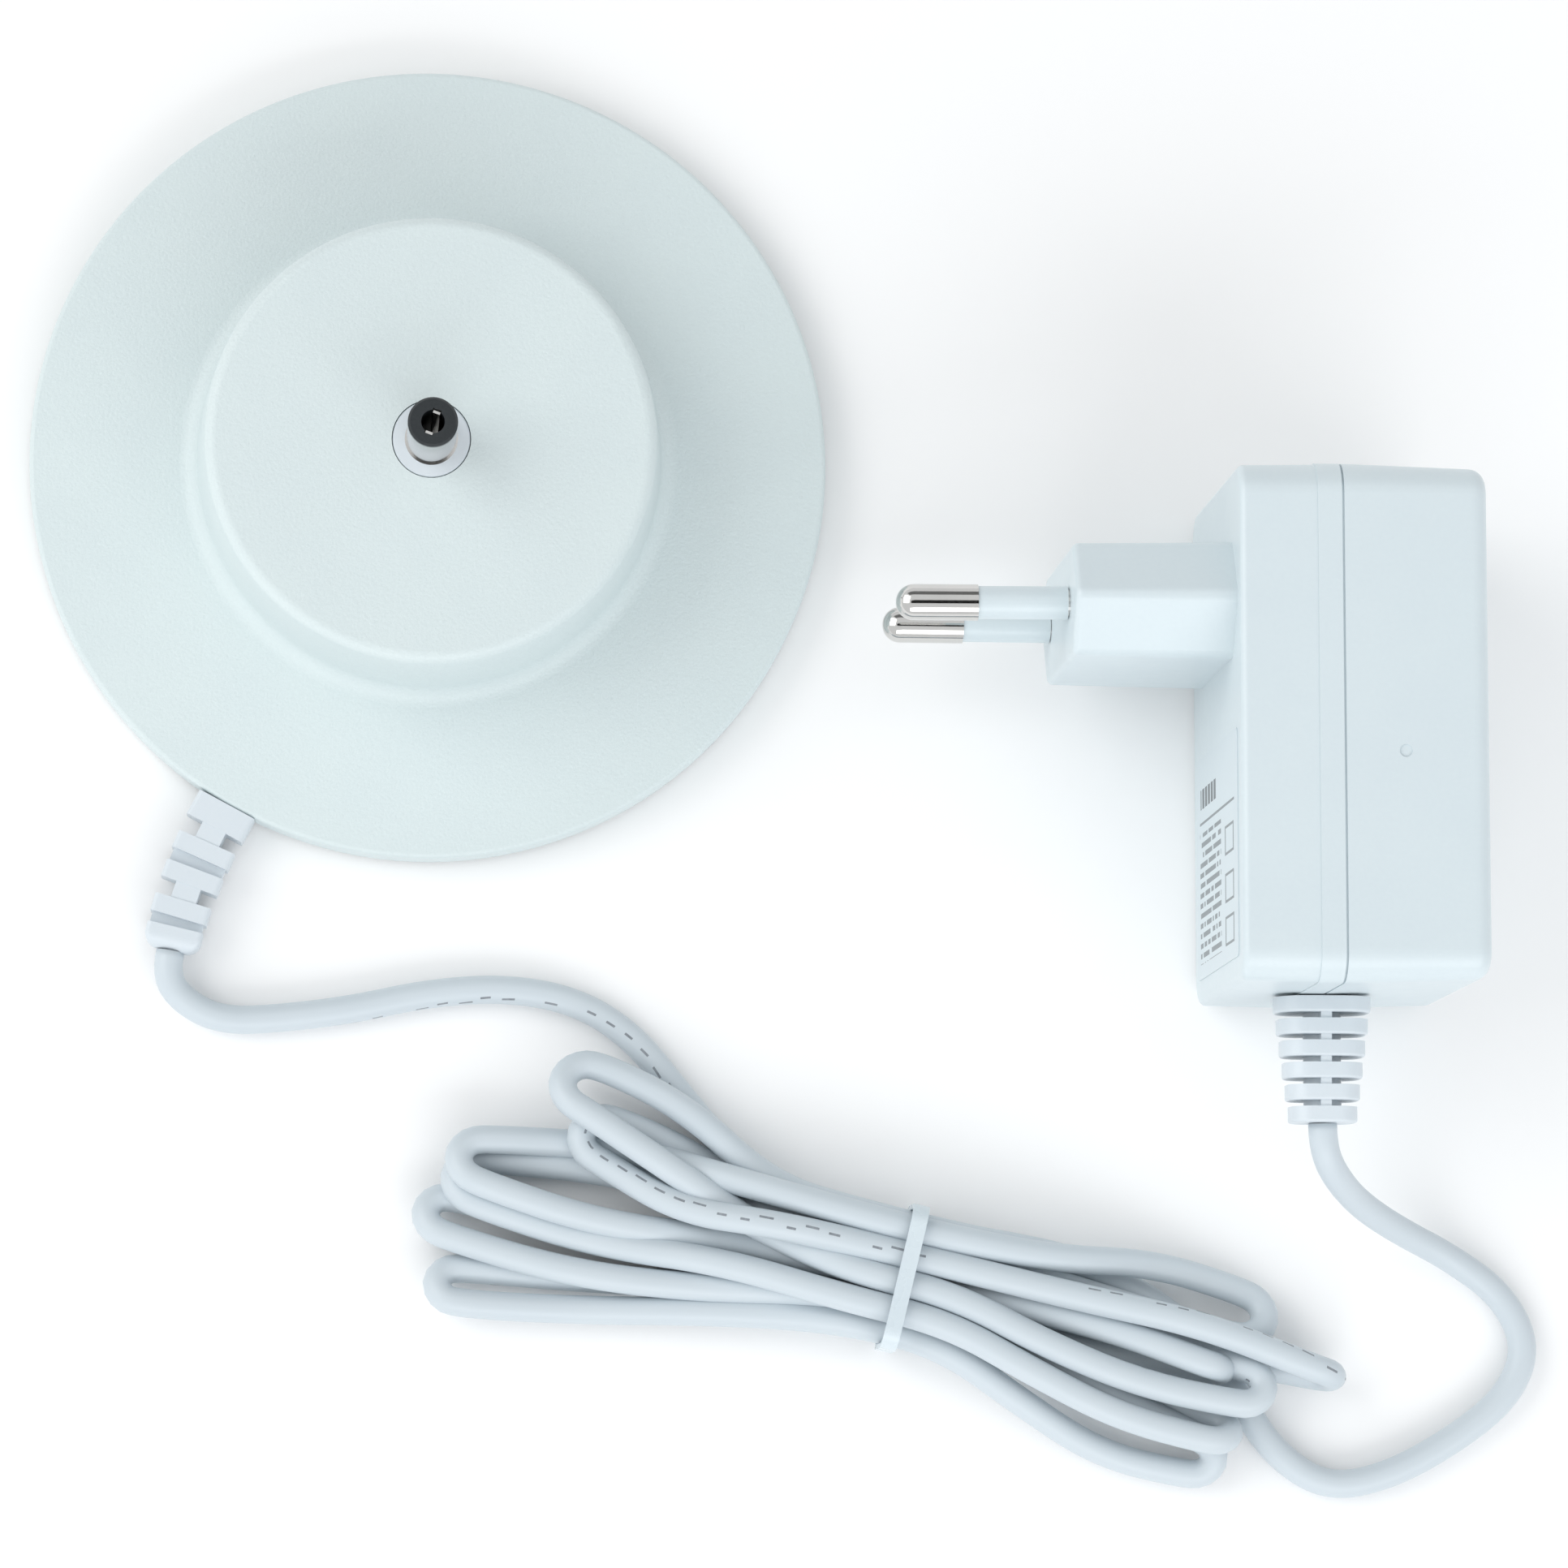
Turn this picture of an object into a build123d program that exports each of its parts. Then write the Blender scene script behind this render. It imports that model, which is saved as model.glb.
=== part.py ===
"""Charging stand with a barrel plug, a cord in a hank and a plug-in power supply.

Millimetres. The stand is centred on the origin and stands on z = 0. The cord leaves its
rim, lies on the same surface, is folded into a hank with a band round it, and ends in the
power supply, which lies on its side with its mains pins towards the stand.
"""

import os
from math import atan2, cos, degrees, pi, radians, sin, tan

from build123d import *

# ---------------------------------------------------------------- driving dimensions

# Stand
BASE_DIAMETER = 90.0
RIM_HEIGHT = 5.0  # top edge of the rim above the table
FLANGE_RISE = 1.0  # rise of the flange from the rim to the boss
BOSS_FOOT_DIAMETER = 52.4
BOSS_TOP_DIAMETER = 50.0
BOSS_TOP = 21.0  # top face of the boss above the table
BOSS_EDGE_RADIUS = 1.3
BOSS_FOOT_RADIUS = 2.2
SHELL_WALL = 1.6
SHELL_LIFT = 0.6  # the rim hangs this far above the table
RIM_EDGE_RADIUS = 0.5

COVER_THICKNESS = 1.5
COVER_CLEARANCE = 0.15  # all round, in the rim
COVER_EDGE_RADIUS = 0.4
COVER_PAD_DIAMETER = 9.0
COVER_PAD_HEIGHT = 2.0

POST_COUNT = 3
POST_CIRCLE_RADIUS = 18.5
POST_DIAMETER = 6.0
POST_FIRST_ANGLE = 30.0

COVER_SCREW_DIAMETER = 2.6
COVER_SCREW_HEAD = 5.0
COVER_SCREW_HEAD_HEIGHT = 1.3
COVER_SCREW_REACH = 8.0  # thread length above the cover pad
COVER_SCREW_RECESS = 0.3  # of the head's face below the cover's
SCREW_HEAD_CLEARANCE = 0.3  # radial
SCREW_CLEARANCE = 0.05  # radial

FOOT_COUNT = 4
FOOT_DIAMETER = 8.0
FOOT_CIRCLE_RADIUS = 36.0
FOOT_HEIGHT = 1.2
FOOT_FIRST_ANGLE = 15.0
FOOT_CLEARANCE = 0.1  # radial, in its recess
FOOT_CHAMFER = 0.3

BALLAST_DIAMETER = 45.0
BALLAST_BORE = 12.0
BALLAST_THICKNESS = 2.5
BALLAST_CLEARANCE = 0.5

# Barrel plug in the boss
PLUG_BODY_DIAMETER = 8.6
PLUG_BODY_LENGTH = 12.0
PLUG_BODY_CLEARANCE = 0.1
PLUG_FLANGE_DIAMETER = 13.0
PLUG_FLANGE_THICKNESS = 2.5
BARREL_DIAMETER = 5.5
BARREL_WALL = 0.4
BARREL_LENGTH = 11.0  # above the boss
BARREL_BURIED = 8.0
BARREL_SHOULDER_DIAMETER = 5.9  # the buried stretch, which the moulding grips
BARREL_TIP_HEIGHT = 0.8  # black lip at the end
BARREL_TIP_CHAMFER = 0.25
BARREL_BORE = 2.6
TINE_SPACING = 2.7  # over the outsides of the two tines
TINE_THICKNESS = 0.3
TINE_WIDTH = 0.8
TINE_SET_BACK = 0.7  # below the end of the barrel
TINE_SLOT_CLEARANCE = 0.1
TINE_ANGLE = 70.0
TAG_LENGTH = 2.0

RETAINER_LENGTH = 32.0
RETAINER_WIDTH = 15.0
RETAINER_THICKNESS = 2.0
RETAINER_SCREW_SPACING = 22.0
RETAINER_POST_DIAMETER = 5.0
RETAINER_SCREW_DIAMETER = 1.8
RETAINER_SCREW_HEAD = 3.8
RETAINER_SCREW_HEAD_HEIGHT = 1.2
RETAINER_SCREW_REACH = 4.0

# Cord and its strain relief on the stand
CORD_DIAMETER = 3.2
CORD_EXIT_ANGLE = 240.2
CORE_DIAMETER = 1.1
CORE_SPACING = 1.5
LEAD_FLAT_RUN = 30.0  # from the strain relief's neck towards the middle
RELIEF_HEIGHT = 4.4
RELIEF_AXIS_HEIGHT = 2.9
RELIEF_ROOT_WIDTH = 7.05
RELIEF_END_WIDTH = 6.3
RELIEF_TURN = 18.0  # the relief bends this many degrees along its length
RELIEF_SPINE_WIDTH = 2.9
RELIEF_WEB_HEIGHT = 2.2
RELIEF_NECK_WIDTH = 4.8
RELIEF_NECK_HEIGHT = 3.4
RELIEF_NECK_LENGTH = 5.5
RELIEF_COLLAR_WIDTH = 7.0
RELIEF_COLLAR_THICKNESS = 1.5
RELIEF_CLEARANCE = 0.1
RELIEF_EDGE_RADIUS = 0.5
RELIEF_END_RADIUS = 1.6
CORD_FIRST_RUN = 3.0  # straight on from the relief

# Hank and its band
HANK_CENTRE = (53.5, -92.0)
HANK_ANGLE = -13.6
HANK_HEIGHT = 7.2
HANK_WAIST_LENGTH = 30.0
TIE_INNER_WIDTH = 15.4
TIE_INNER_HEIGHT = 9.4
TIE_WIDTH = 1.8
TIE_THICKNESS = 0.6
TIE_CORNER_RADIUS = 2.4

# Power supply, lying on its side
ADAPTER_FRONT_X = 87.5
ADAPTER_CENTRE_Y = -32.8
ADAPTER_WIDTH = 40.0  # upright, as it lies
ADAPTER_LENGTH = 57.0
ADAPTER_FRONT_DEPTH = 11.4
ADAPTER_REAR_DEPTH = 15.9
ADAPTER_CORNER_RADIUS = 3.6
ADAPTER_WALL = 2.0
ADAPTER_FRONT_DRAFT = 1.0
ADAPTER_REAR_DRAFT = 1.8
ADAPTER_EDGE_RADIUS = 0.8
ADAPTER_BACK_RADIUS = 1.8
ADAPTER_BAND = 2.9  # straight band beside the parting line
ADAPTER_BAND_STEP = 0.12
PARTING_GROOVE = 0.25
TONGUE_HEIGHT = 1.5
TONGUE_THICKNESS = 0.9
TONGUE_CLEARANCE = 0.1
GATE_MARK_DIAMETER = 1.4
GATE_MARK_DEPTH = 0.15
GATE_MARK_SET_BACK = 6.5  # behind the parting line
GATE_MARK_OFFSET = 3.4  # from the middle of the length

NOSE_CENTRE_Y = -18.9
NOSE_WIDTH = 35.6
NOSE_FLAT_WIDTH = 26.4
NOSE_THICKNESS = 12.9
NOSE_LENGTH = 17.6
NOSE_DRAFT = 0.9
NOSE_WALL = 1.8
NOSE_END_WALL = 3.0
NOSE_EDGE_RADIUS = 0.7
NOSE_RIDGE_RADIUS = 1.6
NOSE_CAVITY_RADIUS = 0.4

PIN_DIAMETER = 4.0
PIN_LENGTH = 19.0
PIN_SLEEVE_LENGTH = 10.0
PIN_SLEEVE_DIAMETER = 3.65
PIN_CORE_DIAMETER = 3.0
PIN_SPACING_ROOT = 18.6
PIN_SPACING_TIP = 17.5
PIN_COLLAR_DIAMETER = 5.0
PIN_COLLAR_THICKNESS = 1.5
PIN_TAIL = 3.0
PIN_CLEARANCE = 0.02

LABEL_LENGTH = 25.0
LABEL_WIDTH = 33.0
LABEL_THICKNESS = 0.12
LABEL_END_GAP = 3.0

ADAPTER_RELIEF_RIBS = 6
ADAPTER_RELIEF_PITCH = 2.42
ADAPTER_RELIEF_RIB = 1.75
ADAPTER_RELIEF_ROOT_WIDTH = 10.6
ADAPTER_RELIEF_END_WIDTH = 7.5
ADAPTER_RELIEF_ROOT_HEIGHT = 8.0
ADAPTER_RELIEF_END_HEIGHT = 6.2
ADAPTER_RELIEF_CORE = 4.2
ADAPTER_RELIEF_SPINE = 1.2
ADAPTER_RELIEF_NECK = 5.6
ADAPTER_RELIEF_COLLAR = 9.0
ADAPTER_RELIEF_CLEARANCE = 0.1

BOARD_LENGTH = 49.0
BOARD_WIDTH = 33.0
BOARD_THICKNESS = 1.6
BOARD_STAND_OFF = 2.4
OUTPUT_LANDING = 2.0  # from the board's end to the output leads
STAND_OFF_SIZE = 3.0

CORE_LENGTH = 18.0
CORE_HEIGHT = 13.6
CORE_DEPTH = 6.0
CORE_YOKE = 2.4
CENTRE_LEG = 5.0
BOBBIN_FLANGE = 12.4
BOBBIN_FLANGE_THICKNESS = 0.9
BOBBIN_TUBE_WALL = 0.7
WINDING_DIAMETER = 11.4
BOBBIN_CLEARANCE = 0.15
BOBBIN_FOOT_HEIGHT = 1.2

LEG_RADIUS = 0.35  # wire legs of the parts on the board
CHIP_STAND_OFF = 0.6
BOARD_PLACES = {  # y and z from the board's middle
    "transformer": (-4.0, 0.0),
    "input_capacitor": (14.5, 8.5),
    "output_capacitor": (-18.5, 10.5),
    "fuse_resistor": (4.5, -13.3),
    "output_diode": (-18.6, -3.0),
    "bridge_rectifier": (6.5, 13.0),
    "controller_chip": (-9.5, -12.5),
    "optocoupler": (-9.0, 12.5),
    "y_capacitor": (-19.5, -11.5),
}

# ---------------------------------------------------------------- worked-out values

UP_FROM_BASE = (Align.CENTER, Align.CENTER, Align.MIN)
SHELL_TOP_INSIDE = BOSS_TOP - SHELL_WALL
COVER_TOP = SHELL_LIFT + COVER_THICKNESS
COVER_RADIUS = BASE_DIAMETER / 2 - SHELL_WALL - COVER_CLEARANCE
PAD_TOP = COVER_TOP + COVER_PAD_HEIGHT
PLUG_BOTTOM = BOSS_TOP - PLUG_BODY_LENGTH
FLANGE_BOTTOM = SHELL_TOP_INSIDE - PLUG_FLANGE_THICKNESS
BARREL_TOP = BOSS_TOP + BARREL_LENGTH
BARREL_BOTTOM = BOSS_TOP - BARREL_BURIED
RELIEF_START = BASE_DIAMETER / 2 + 0.05

PARTING_X = ADAPTER_FRONT_X + ADAPTER_FRONT_DEPTH
ADAPTER_MID_Z = ADAPTER_WIDTH / 2
ADAPTER_BOTTOM_Y = ADAPTER_CENTRE_Y - ADAPTER_LENGTH / 2
NOSE_TIP_X = ADAPTER_FRONT_X - NOSE_LENGTH
BOARD_X = ADAPTER_FRONT_X + ADAPTER_WALL + BOARD_STAND_OFF
PARTS_X = BOARD_X + BOARD_THICKNESS
ADAPTER_RELIEF_LENGTH = ADAPTER_RELIEF_PITCH * ADAPTER_RELIEF_RIBS - (
    ADAPTER_RELIEF_PITCH - ADAPTER_RELIEF_RIB
)


# ---------------------------------------------------------------- helpers


def rod(radius, start, end):
    """Round bar from one point to another."""
    along = Vector(*end) - Vector(*start)
    return Plane(origin=start, z_dir=along) * Cylinder(radius, along.length, align=UP_FROM_BASE)


def disc(diameter, low, high, at=(0.0, 0.0)):
    """Upright cylinder between two heights."""
    return Pos(at[0], at[1], low) * Cylinder(diameter / 2, high - low, align=UP_FROM_BASE)


def block(low, high):
    """Box between two corners."""
    size = [b - a for a, b in zip(low, high)]
    middle = [(a + b) / 2 for a, b in zip(low, high)]
    return Pos(*middle) * Box(*size)


def polar(radius, angle):
    """Point on a circle about the stand's axis."""
    return radius * cos(radians(angle)), radius * sin(radians(angle))


def around(count, radius, first):
    """Evenly spaced points on a circle about the stand's axis."""
    return [polar(radius, first + 360.0 * k / count) for k in range(count)]


def corner_radii(points):
    """Radius of each corner: 0.45 of its shorter run over the tangent of half the turn."""
    spots = [Vector(*p) for p in points]
    radii = []
    for before, here, after in zip(spots, spots[1:], spots[2:]):
        run_in, run_out = here - before, after - here
        half_turn = radians(run_in.get_angle(run_out)) / 2
        radii.append(0.45 * min(run_in.length, run_out.length) / tan(half_turn))
    return radii


def tube_along(name, points, diameter):
    """Round tube on straight runs joined by tangent arcs."""
    radii = corner_radii(points)
    path = FilletPolyline(*points, radius=radii)
    start = Plane(origin=path @ 0, z_dir=path % 0)
    tube = sweep(start * Circle(diameter / 2), path=path)
    section = pi * diameter**2 / 4
    print(name, "radii", [round(r, 1) for r in radii], "length", round(path.length, 1))
    print(name, "volume over section times length", round(tube.volume / section / path.length, 4))
    return tube


# ---------------------------------------------------------------- stand


def rings_at(solid, height):
    """A turned solid's round edges at one height."""
    rings = solid.edges().filter_by(GeomType.CIRCLE)
    return [ring for ring in rings if abs(ring.center().Z - height) < 0.01]


def base_top_shell():
    """Disc and boss in one moulding, open underneath."""
    rim, foot, top = BASE_DIAMETER / 2, BOSS_FOOT_DIAMETER / 2, BOSS_TOP_DIAMETER / 2
    flange_top = RIM_HEIGHT + FLANGE_RISE

    def turned(inset, drop, low):
        outline = Polyline(
            (0, 0, low),
            (rim - inset, 0, low),
            (rim - inset, 0, RIM_HEIGHT - drop),
            (foot - inset, 0, flange_top - drop),
            (top - inset, 0, BOSS_TOP - drop),
            (0, 0, BOSS_TOP - drop),
            close=True,
        )
        return revolve(make_face(outline), Axis.Z)

    outside = turned(0, 0, SHELL_LIFT)
    for height, radius in (
        (BOSS_TOP, BOSS_EDGE_RADIUS),
        (flange_top, BOSS_FOOT_RADIUS),
        (RIM_HEIGHT, RIM_EDGE_RADIUS),
    ):
        outside = fillet(rings_at(outside, height), radius)

    shell = outside - turned(SHELL_WALL, SHELL_WALL, SHELL_LIFT - 1)
    for at in around(POST_COUNT, POST_CIRCLE_RADIUS, POST_FIRST_ANGLE):
        shell += disc(POST_DIAMETER, PAD_TOP, SHELL_TOP_INSIDE + 0.5, at)
        hole = COVER_SCREW_DIAMETER + 2 * SCREW_CLEARANCE
        shell -= disc(hole, PAD_TOP - 1, PAD_TOP + COVER_SCREW_REACH + 1, at)
    for side in (-1, 1):
        at = (side * RETAINER_SCREW_SPACING / 2, 0)
        shell += disc(RETAINER_POST_DIAMETER, FLANGE_BOTTOM, SHELL_TOP_INSIDE + 0.5, at)
        hole = RETAINER_SCREW_DIAMETER + 2 * SCREW_CLEARANCE
        reach = FLANGE_BOTTOM - RETAINER_THICKNESS + RETAINER_SCREW_REACH + 0.3
        shell -= disc(hole, FLANGE_BOTTOM - 1, reach, at)
    shell -= disc(PLUG_BODY_DIAMETER + 2 * PLUG_BODY_CLEARANCE, FLANGE_BOTTOM, BOSS_TOP + 1)
    return shell - relief_room()


def relief_room():
    """Channel for the strain relief's neck and collar, cut in shell and cover."""
    gap = RELIEF_CLEARANCE
    top = SHELL_LIFT + RELIEF_CLEARANCE + RELIEF_NECK_HEIGHT + gap
    inner = RELIEF_START - RELIEF_NECK_LENGTH - gap
    wall = BASE_DIAMETER / 2 - SHELL_WALL
    neck = block(
        (inner, -RELIEF_NECK_WIDTH / 2 - gap, -1),
        (RELIEF_START + 1, RELIEF_NECK_WIDTH / 2 + gap, top),
    )
    collar = block(
        (wall - RELIEF_COLLAR_THICKNESS - 2 * gap, -RELIEF_COLLAR_WIDTH / 2 - gap, -1),
        (wall, RELIEF_COLLAR_WIDTH / 2 + gap, top),
    )
    return Rot(0, 0, CORD_EXIT_ANGLE) * (neck + collar)


def base_bottom_cover():
    """Round cover inside the rim, with a pad under each screw post."""
    cover = disc(2 * COVER_RADIUS, SHELL_LIFT, COVER_TOP)
    cover = fillet(cover.edges().group_by(Axis.Z)[0], COVER_EDGE_RADIUS)
    head_room = SHELL_LIFT + COVER_SCREW_RECESS + COVER_SCREW_HEAD_HEIGHT
    for at in around(POST_COUNT, POST_CIRCLE_RADIUS, POST_FIRST_ANGLE):
        cover += disc(COVER_PAD_DIAMETER, COVER_TOP - 0.5, PAD_TOP, at)
        cover -= disc(COVER_SCREW_HEAD + 2 * SCREW_HEAD_CLEARANCE, SHELL_LIFT - 1, head_room, at)
        cover -= disc(COVER_SCREW_DIAMETER + 2 * SCREW_CLEARANCE, SHELL_LIFT, PAD_TOP + 1, at)
    for at in around(FOOT_COUNT, FOOT_CIRCLE_RADIUS, FOOT_FIRST_ANGLE):
        cover -= disc(FOOT_DIAMETER, SHELL_LIFT - 1, FOOT_HEIGHT, at)
    return cover - relief_room()


def cross_head_screw(at, head_low, head, head_height, shank, length):
    """Pan head below, shank upwards, cross recess in the head's face."""
    screw = disc(head, head_low, head_low + head_height, at)
    screw = fillet(screw.edges().group_by(Axis.Z)[0], head_height * 0.3)
    screw += disc(shank, head_low + head_height, head_low + head_height + length, at)
    slot, width = head * 0.55, head * 0.14
    for size in ((slot, width), (width, slot)):
        screw -= Pos(at[0], at[1], head_low) * Box(*size, head_height, align=(Align.CENTER,) * 3)
    return screw


def cover_screws():
    """Three screws from below, through the cover pads into the posts."""
    low = SHELL_LIFT + COVER_SCREW_RECESS
    length = PAD_TOP + COVER_SCREW_REACH - low - COVER_SCREW_HEAD_HEIGHT
    return [
        cross_head_screw(at, low, COVER_SCREW_HEAD, COVER_SCREW_HEAD_HEIGHT, COVER_SCREW_DIAMETER, length)
        for at in around(POST_COUNT, POST_CIRCLE_RADIUS, POST_FIRST_ANGLE)
    ]


def rubber_feet():
    """Four round feet glued in the cover's recesses."""
    feet = []
    for at in around(FOOT_COUNT, FOOT_CIRCLE_RADIUS, FOOT_FIRST_ANGLE):
        foot = disc(FOOT_DIAMETER - 2 * FOOT_CLEARANCE, 0, FOOT_HEIGHT, at)
        feet.append(chamfer(foot.edges().group_by(Axis.Z)[0], FOOT_CHAMFER))
    return feet


def ballast_plate():
    """Steel disc on the cover, cleared round the screw pads and slotted for the leads."""
    plate = disc(BALLAST_DIAMETER, COVER_TOP, COVER_TOP + BALLAST_THICKNESS)
    plate -= disc(BALLAST_BORE, 0, BOSS_TOP)
    for at in around(POST_COUNT, POST_CIRCLE_RADIUS, POST_FIRST_ANGLE):
        plate -= disc(COVER_PAD_DIAMETER + 2 * BALLAST_CLEARANCE, 0, BOSS_TOP, at)
    half = 2 * CORE_SPACING
    return plate - Rot(0, 0, CORD_EXIT_ANGLE) * block((0, -half, 0), (BALLAST_DIAMETER, half, BOSS_TOP))


# ---------------------------------------------------------------- barrel plug


def plug_body():
    """White moulding round the barrel, its flange against the underside of the boss."""
    body = disc(PLUG_BODY_DIAMETER, PLUG_BOTTOM, BOSS_TOP)
    body += disc(PLUG_FLANGE_DIAMETER, FLANGE_BOTTOM, SHELL_TOP_INSIDE)
    body = chamfer(body.edges().group_by(Axis.Z)[-1], 0.15)
    body -= disc(BARREL_SHOULDER_DIAMETER, BARREL_BOTTOM, BOSS_TOP + 1)
    body -= disc(CORE_DIAMETER, PLUG_BOTTOM - 1, BOSS_TOP)
    return body - sleeve_tag()


def sleeve_tag():
    """Flat tag that comes down from the sleeve's wall."""
    middle = (BARREL_DIAMETER - BARREL_WALL) / 2
    low = PLUG_BOTTOM - TAG_LENGTH
    return block((middle - 0.2, -0.6, low), (middle + 0.2, 0.6, BARREL_BOTTOM + 0.5))


def barrel_sleeve():
    """Plated tube of the barrel plug, with its solder tag."""
    top = BARREL_TOP - BARREL_TIP_HEIGHT
    tube = disc(BARREL_DIAMETER, BARREL_BOTTOM, top)
    tube += disc(BARREL_SHOULDER_DIAMETER, BARREL_BOTTOM, BOSS_TOP)
    tube -= disc(BARREL_DIAMETER - 2 * BARREL_WALL, BARREL_BOTTOM - 1, top + 1)
    return tube + sleeve_tag()


def barrel_insulator():
    """Black liner and lip of the barrel, bored for the mating pin and slotted for the tines."""
    liner = disc(BARREL_DIAMETER - 2 * BARREL_WALL, BARREL_BOTTOM, BARREL_TOP)
    lip = disc(BARREL_DIAMETER, BARREL_TOP - BARREL_TIP_HEIGHT, BARREL_TOP)
    liner += chamfer(lip.edges().group_by(Axis.Z)[-1], BARREL_TIP_CHAMFER)
    floor = BARREL_BOTTOM + 1.0
    liner -= disc(BARREL_BORE, floor, BARREL_TOP + 1)
    across = TINE_SPACING / 2 + TINE_SLOT_CLEARANCE
    half = TINE_WIDTH / 2 + TINE_SLOT_CLEARANCE
    slot = block((-across, -half, floor), (across, half, BARREL_TOP + 1))
    liner -= Rot(0, 0, TINE_ANGLE) * slot
    return liner - disc(CORE_DIAMETER, PLUG_BOTTOM, floor + 0.5)


def fork_contact():
    """Inner contact: a bar across the bore's floor, two tines and a solder tail."""
    floor = BARREL_BOTTOM + 1.0
    across, half = TINE_SPACING / 2, TINE_WIDTH / 2
    top = BARREL_TOP - TINE_SET_BACK
    fork = block((-across, -half, floor), (across, half, floor + 1.0))
    for side in (-1, 1):
        inner, outer = sorted((side * across, side * (across - TINE_THICKNESS)))
        fork += block((inner, -half, floor), (outer, half, top))
    tail = disc(CORE_DIAMETER - 0.1, PLUG_BOTTOM - TAG_LENGTH, floor + 0.5)
    return Rot(0, 0, TINE_ANGLE) * fork + tail


def plug_retainer():
    """Plate screwed up against the plug body's flange."""
    low = FLANGE_BOTTOM - RETAINER_THICKNESS
    ends = Pos(0, 0, low) * SlotOverall(RETAINER_LENGTH, RETAINER_WIDTH)
    plate = extrude(ends, RETAINER_THICKNESS)
    plate -= disc(PLUG_BODY_DIAMETER + 0.4, low - 1, BOSS_TOP)
    for side in (-1, 1):
        hole = RETAINER_SCREW_DIAMETER + 2 * SCREW_CLEARANCE
        plate -= disc(hole, low - 1, BOSS_TOP, (side * RETAINER_SCREW_SPACING / 2, 0))
    return plate


def retainer_screws():
    """Two screws through the retainer into the boss."""
    low = FLANGE_BOTTOM - RETAINER_THICKNESS - RETAINER_SCREW_HEAD_HEIGHT
    return [
        cross_head_screw(
            (side * RETAINER_SCREW_SPACING / 2, 0),
            low,
            RETAINER_SCREW_HEAD,
            RETAINER_SCREW_HEAD_HEIGHT,
            RETAINER_SCREW_DIAMETER,
            RETAINER_SCREW_REACH,
        )
        for side in (-1, 1)
    ]


def base_lead(side, end):
    """One cord core, from the strain relief's neck up to a tag of the plug."""
    start = Vector(RELIEF_START - RELIEF_NECK_LENGTH, side * CORE_SPACING / 2, lead_height())
    turn = Rot(0, 0, CORD_EXIT_ANGLE)
    places = [start, start - Vector(LEAD_FLAT_RUN, 0, 0)]
    points = [(turn * Pos(*p)).position for p in places]
    points += [Vector(end[0], end[1], lead_height() + 0.8), Vector(*end)]
    path = FilletPolyline(*points, radius=[4.0, 1.4])
    return sweep(Plane(origin=path @ 0, z_dir=path % 0) * Circle(CORE_DIAMETER / 2), path=path)


def lead_height():
    """Height of the cores where they leave the neck, just above the cover."""
    return COVER_TOP + CORE_DIAMETER / 2 + 0.05


# ---------------------------------------------------------------- strain relief on the stand


def relief_stations():
    """Blocks and gaps along the relief: kind, start and end, as lengths from the rim."""
    pattern = [
        ("block", 3.0), ("spine", 1.8), ("block", 2.0), ("web", 1.3), ("block", 2.0),
        ("spine", 1.8), ("block", 2.0), ("web", 1.1), ("block", 2.6),
    ]  # fmt: skip
    stations, at = [], 0.0
    for kind, length in pattern:
        stations.append((kind, at, at + length))
        at += length
    return stations


def relief_place(distance):
    """Location on the relief's gently bent axis, x along it."""
    length = relief_stations()[-1][2]
    radius = length / radians(RELIEF_TURN)
    angle = distance / radius
    x, y = radius * sin(angle), radius * (1 - cos(angle))
    at = Rot(0, 0, CORD_EXIT_ANGLE) * Pos(RELIEF_START + x, y, RELIEF_AXIS_HEIGHT)
    return at * Rot(0, 0, degrees(angle))


def base_strain_relief():
    """Slotted relief: blocks joined in turn by an upright spine and a flat web."""
    stations = relief_stations()
    total = stations[-1][2]
    bite = 0.3
    relief = None
    for kind, start, end in stations:
        share = (start + end) / 2 / total
        width = RELIEF_ROOT_WIDTH + share * (RELIEF_END_WIDTH - RELIEF_ROOT_WIDTH)
        if kind == "block":
            piece = Box(end - start, width, RELIEF_HEIGHT)
            piece = fillet(piece.edges().filter_by(Axis.X), RELIEF_EDGE_RADIUS)
            if end == total:
                piece = fillet(piece.edges().filter_by(Axis.Z).group_by(Axis.X)[-1], RELIEF_END_RADIUS)
        elif kind == "spine":
            piece = Box(end - start + 2 * bite, RELIEF_SPINE_WIDTH, RELIEF_HEIGHT - 0.2)
        else:
            piece = Box(end - start + 2 * bite, width - 0.5, RELIEF_WEB_HEIGHT)
        piece = relief_place((start + end) / 2) * piece
        relief = piece if relief is None else relief + piece
    low = SHELL_LIFT + RELIEF_CLEARANCE
    inner = RELIEF_START - RELIEF_NECK_LENGTH
    wall = BASE_DIAMETER / 2 - SHELL_WALL
    neck = block(
        (inner, -RELIEF_NECK_WIDTH / 2, low),
        (RELIEF_START + 0.5, RELIEF_NECK_WIDTH / 2, low + RELIEF_NECK_HEIGHT),
    )
    collar_end = wall - RELIEF_CLEARANCE
    neck += block(
        (collar_end - RELIEF_COLLAR_THICKNESS, -RELIEF_COLLAR_WIDTH / 2, low),
        (collar_end, RELIEF_COLLAR_WIDTH / 2, low + RELIEF_NECK_HEIGHT),
    )
    return relief + Rot(0, 0, CORD_EXIT_ANGLE) * neck


# ---------------------------------------------------------------- cord


def relief_end():
    """Middle of the strain relief's end face."""
    return relief_place(relief_stations()[-1][2]).position


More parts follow.
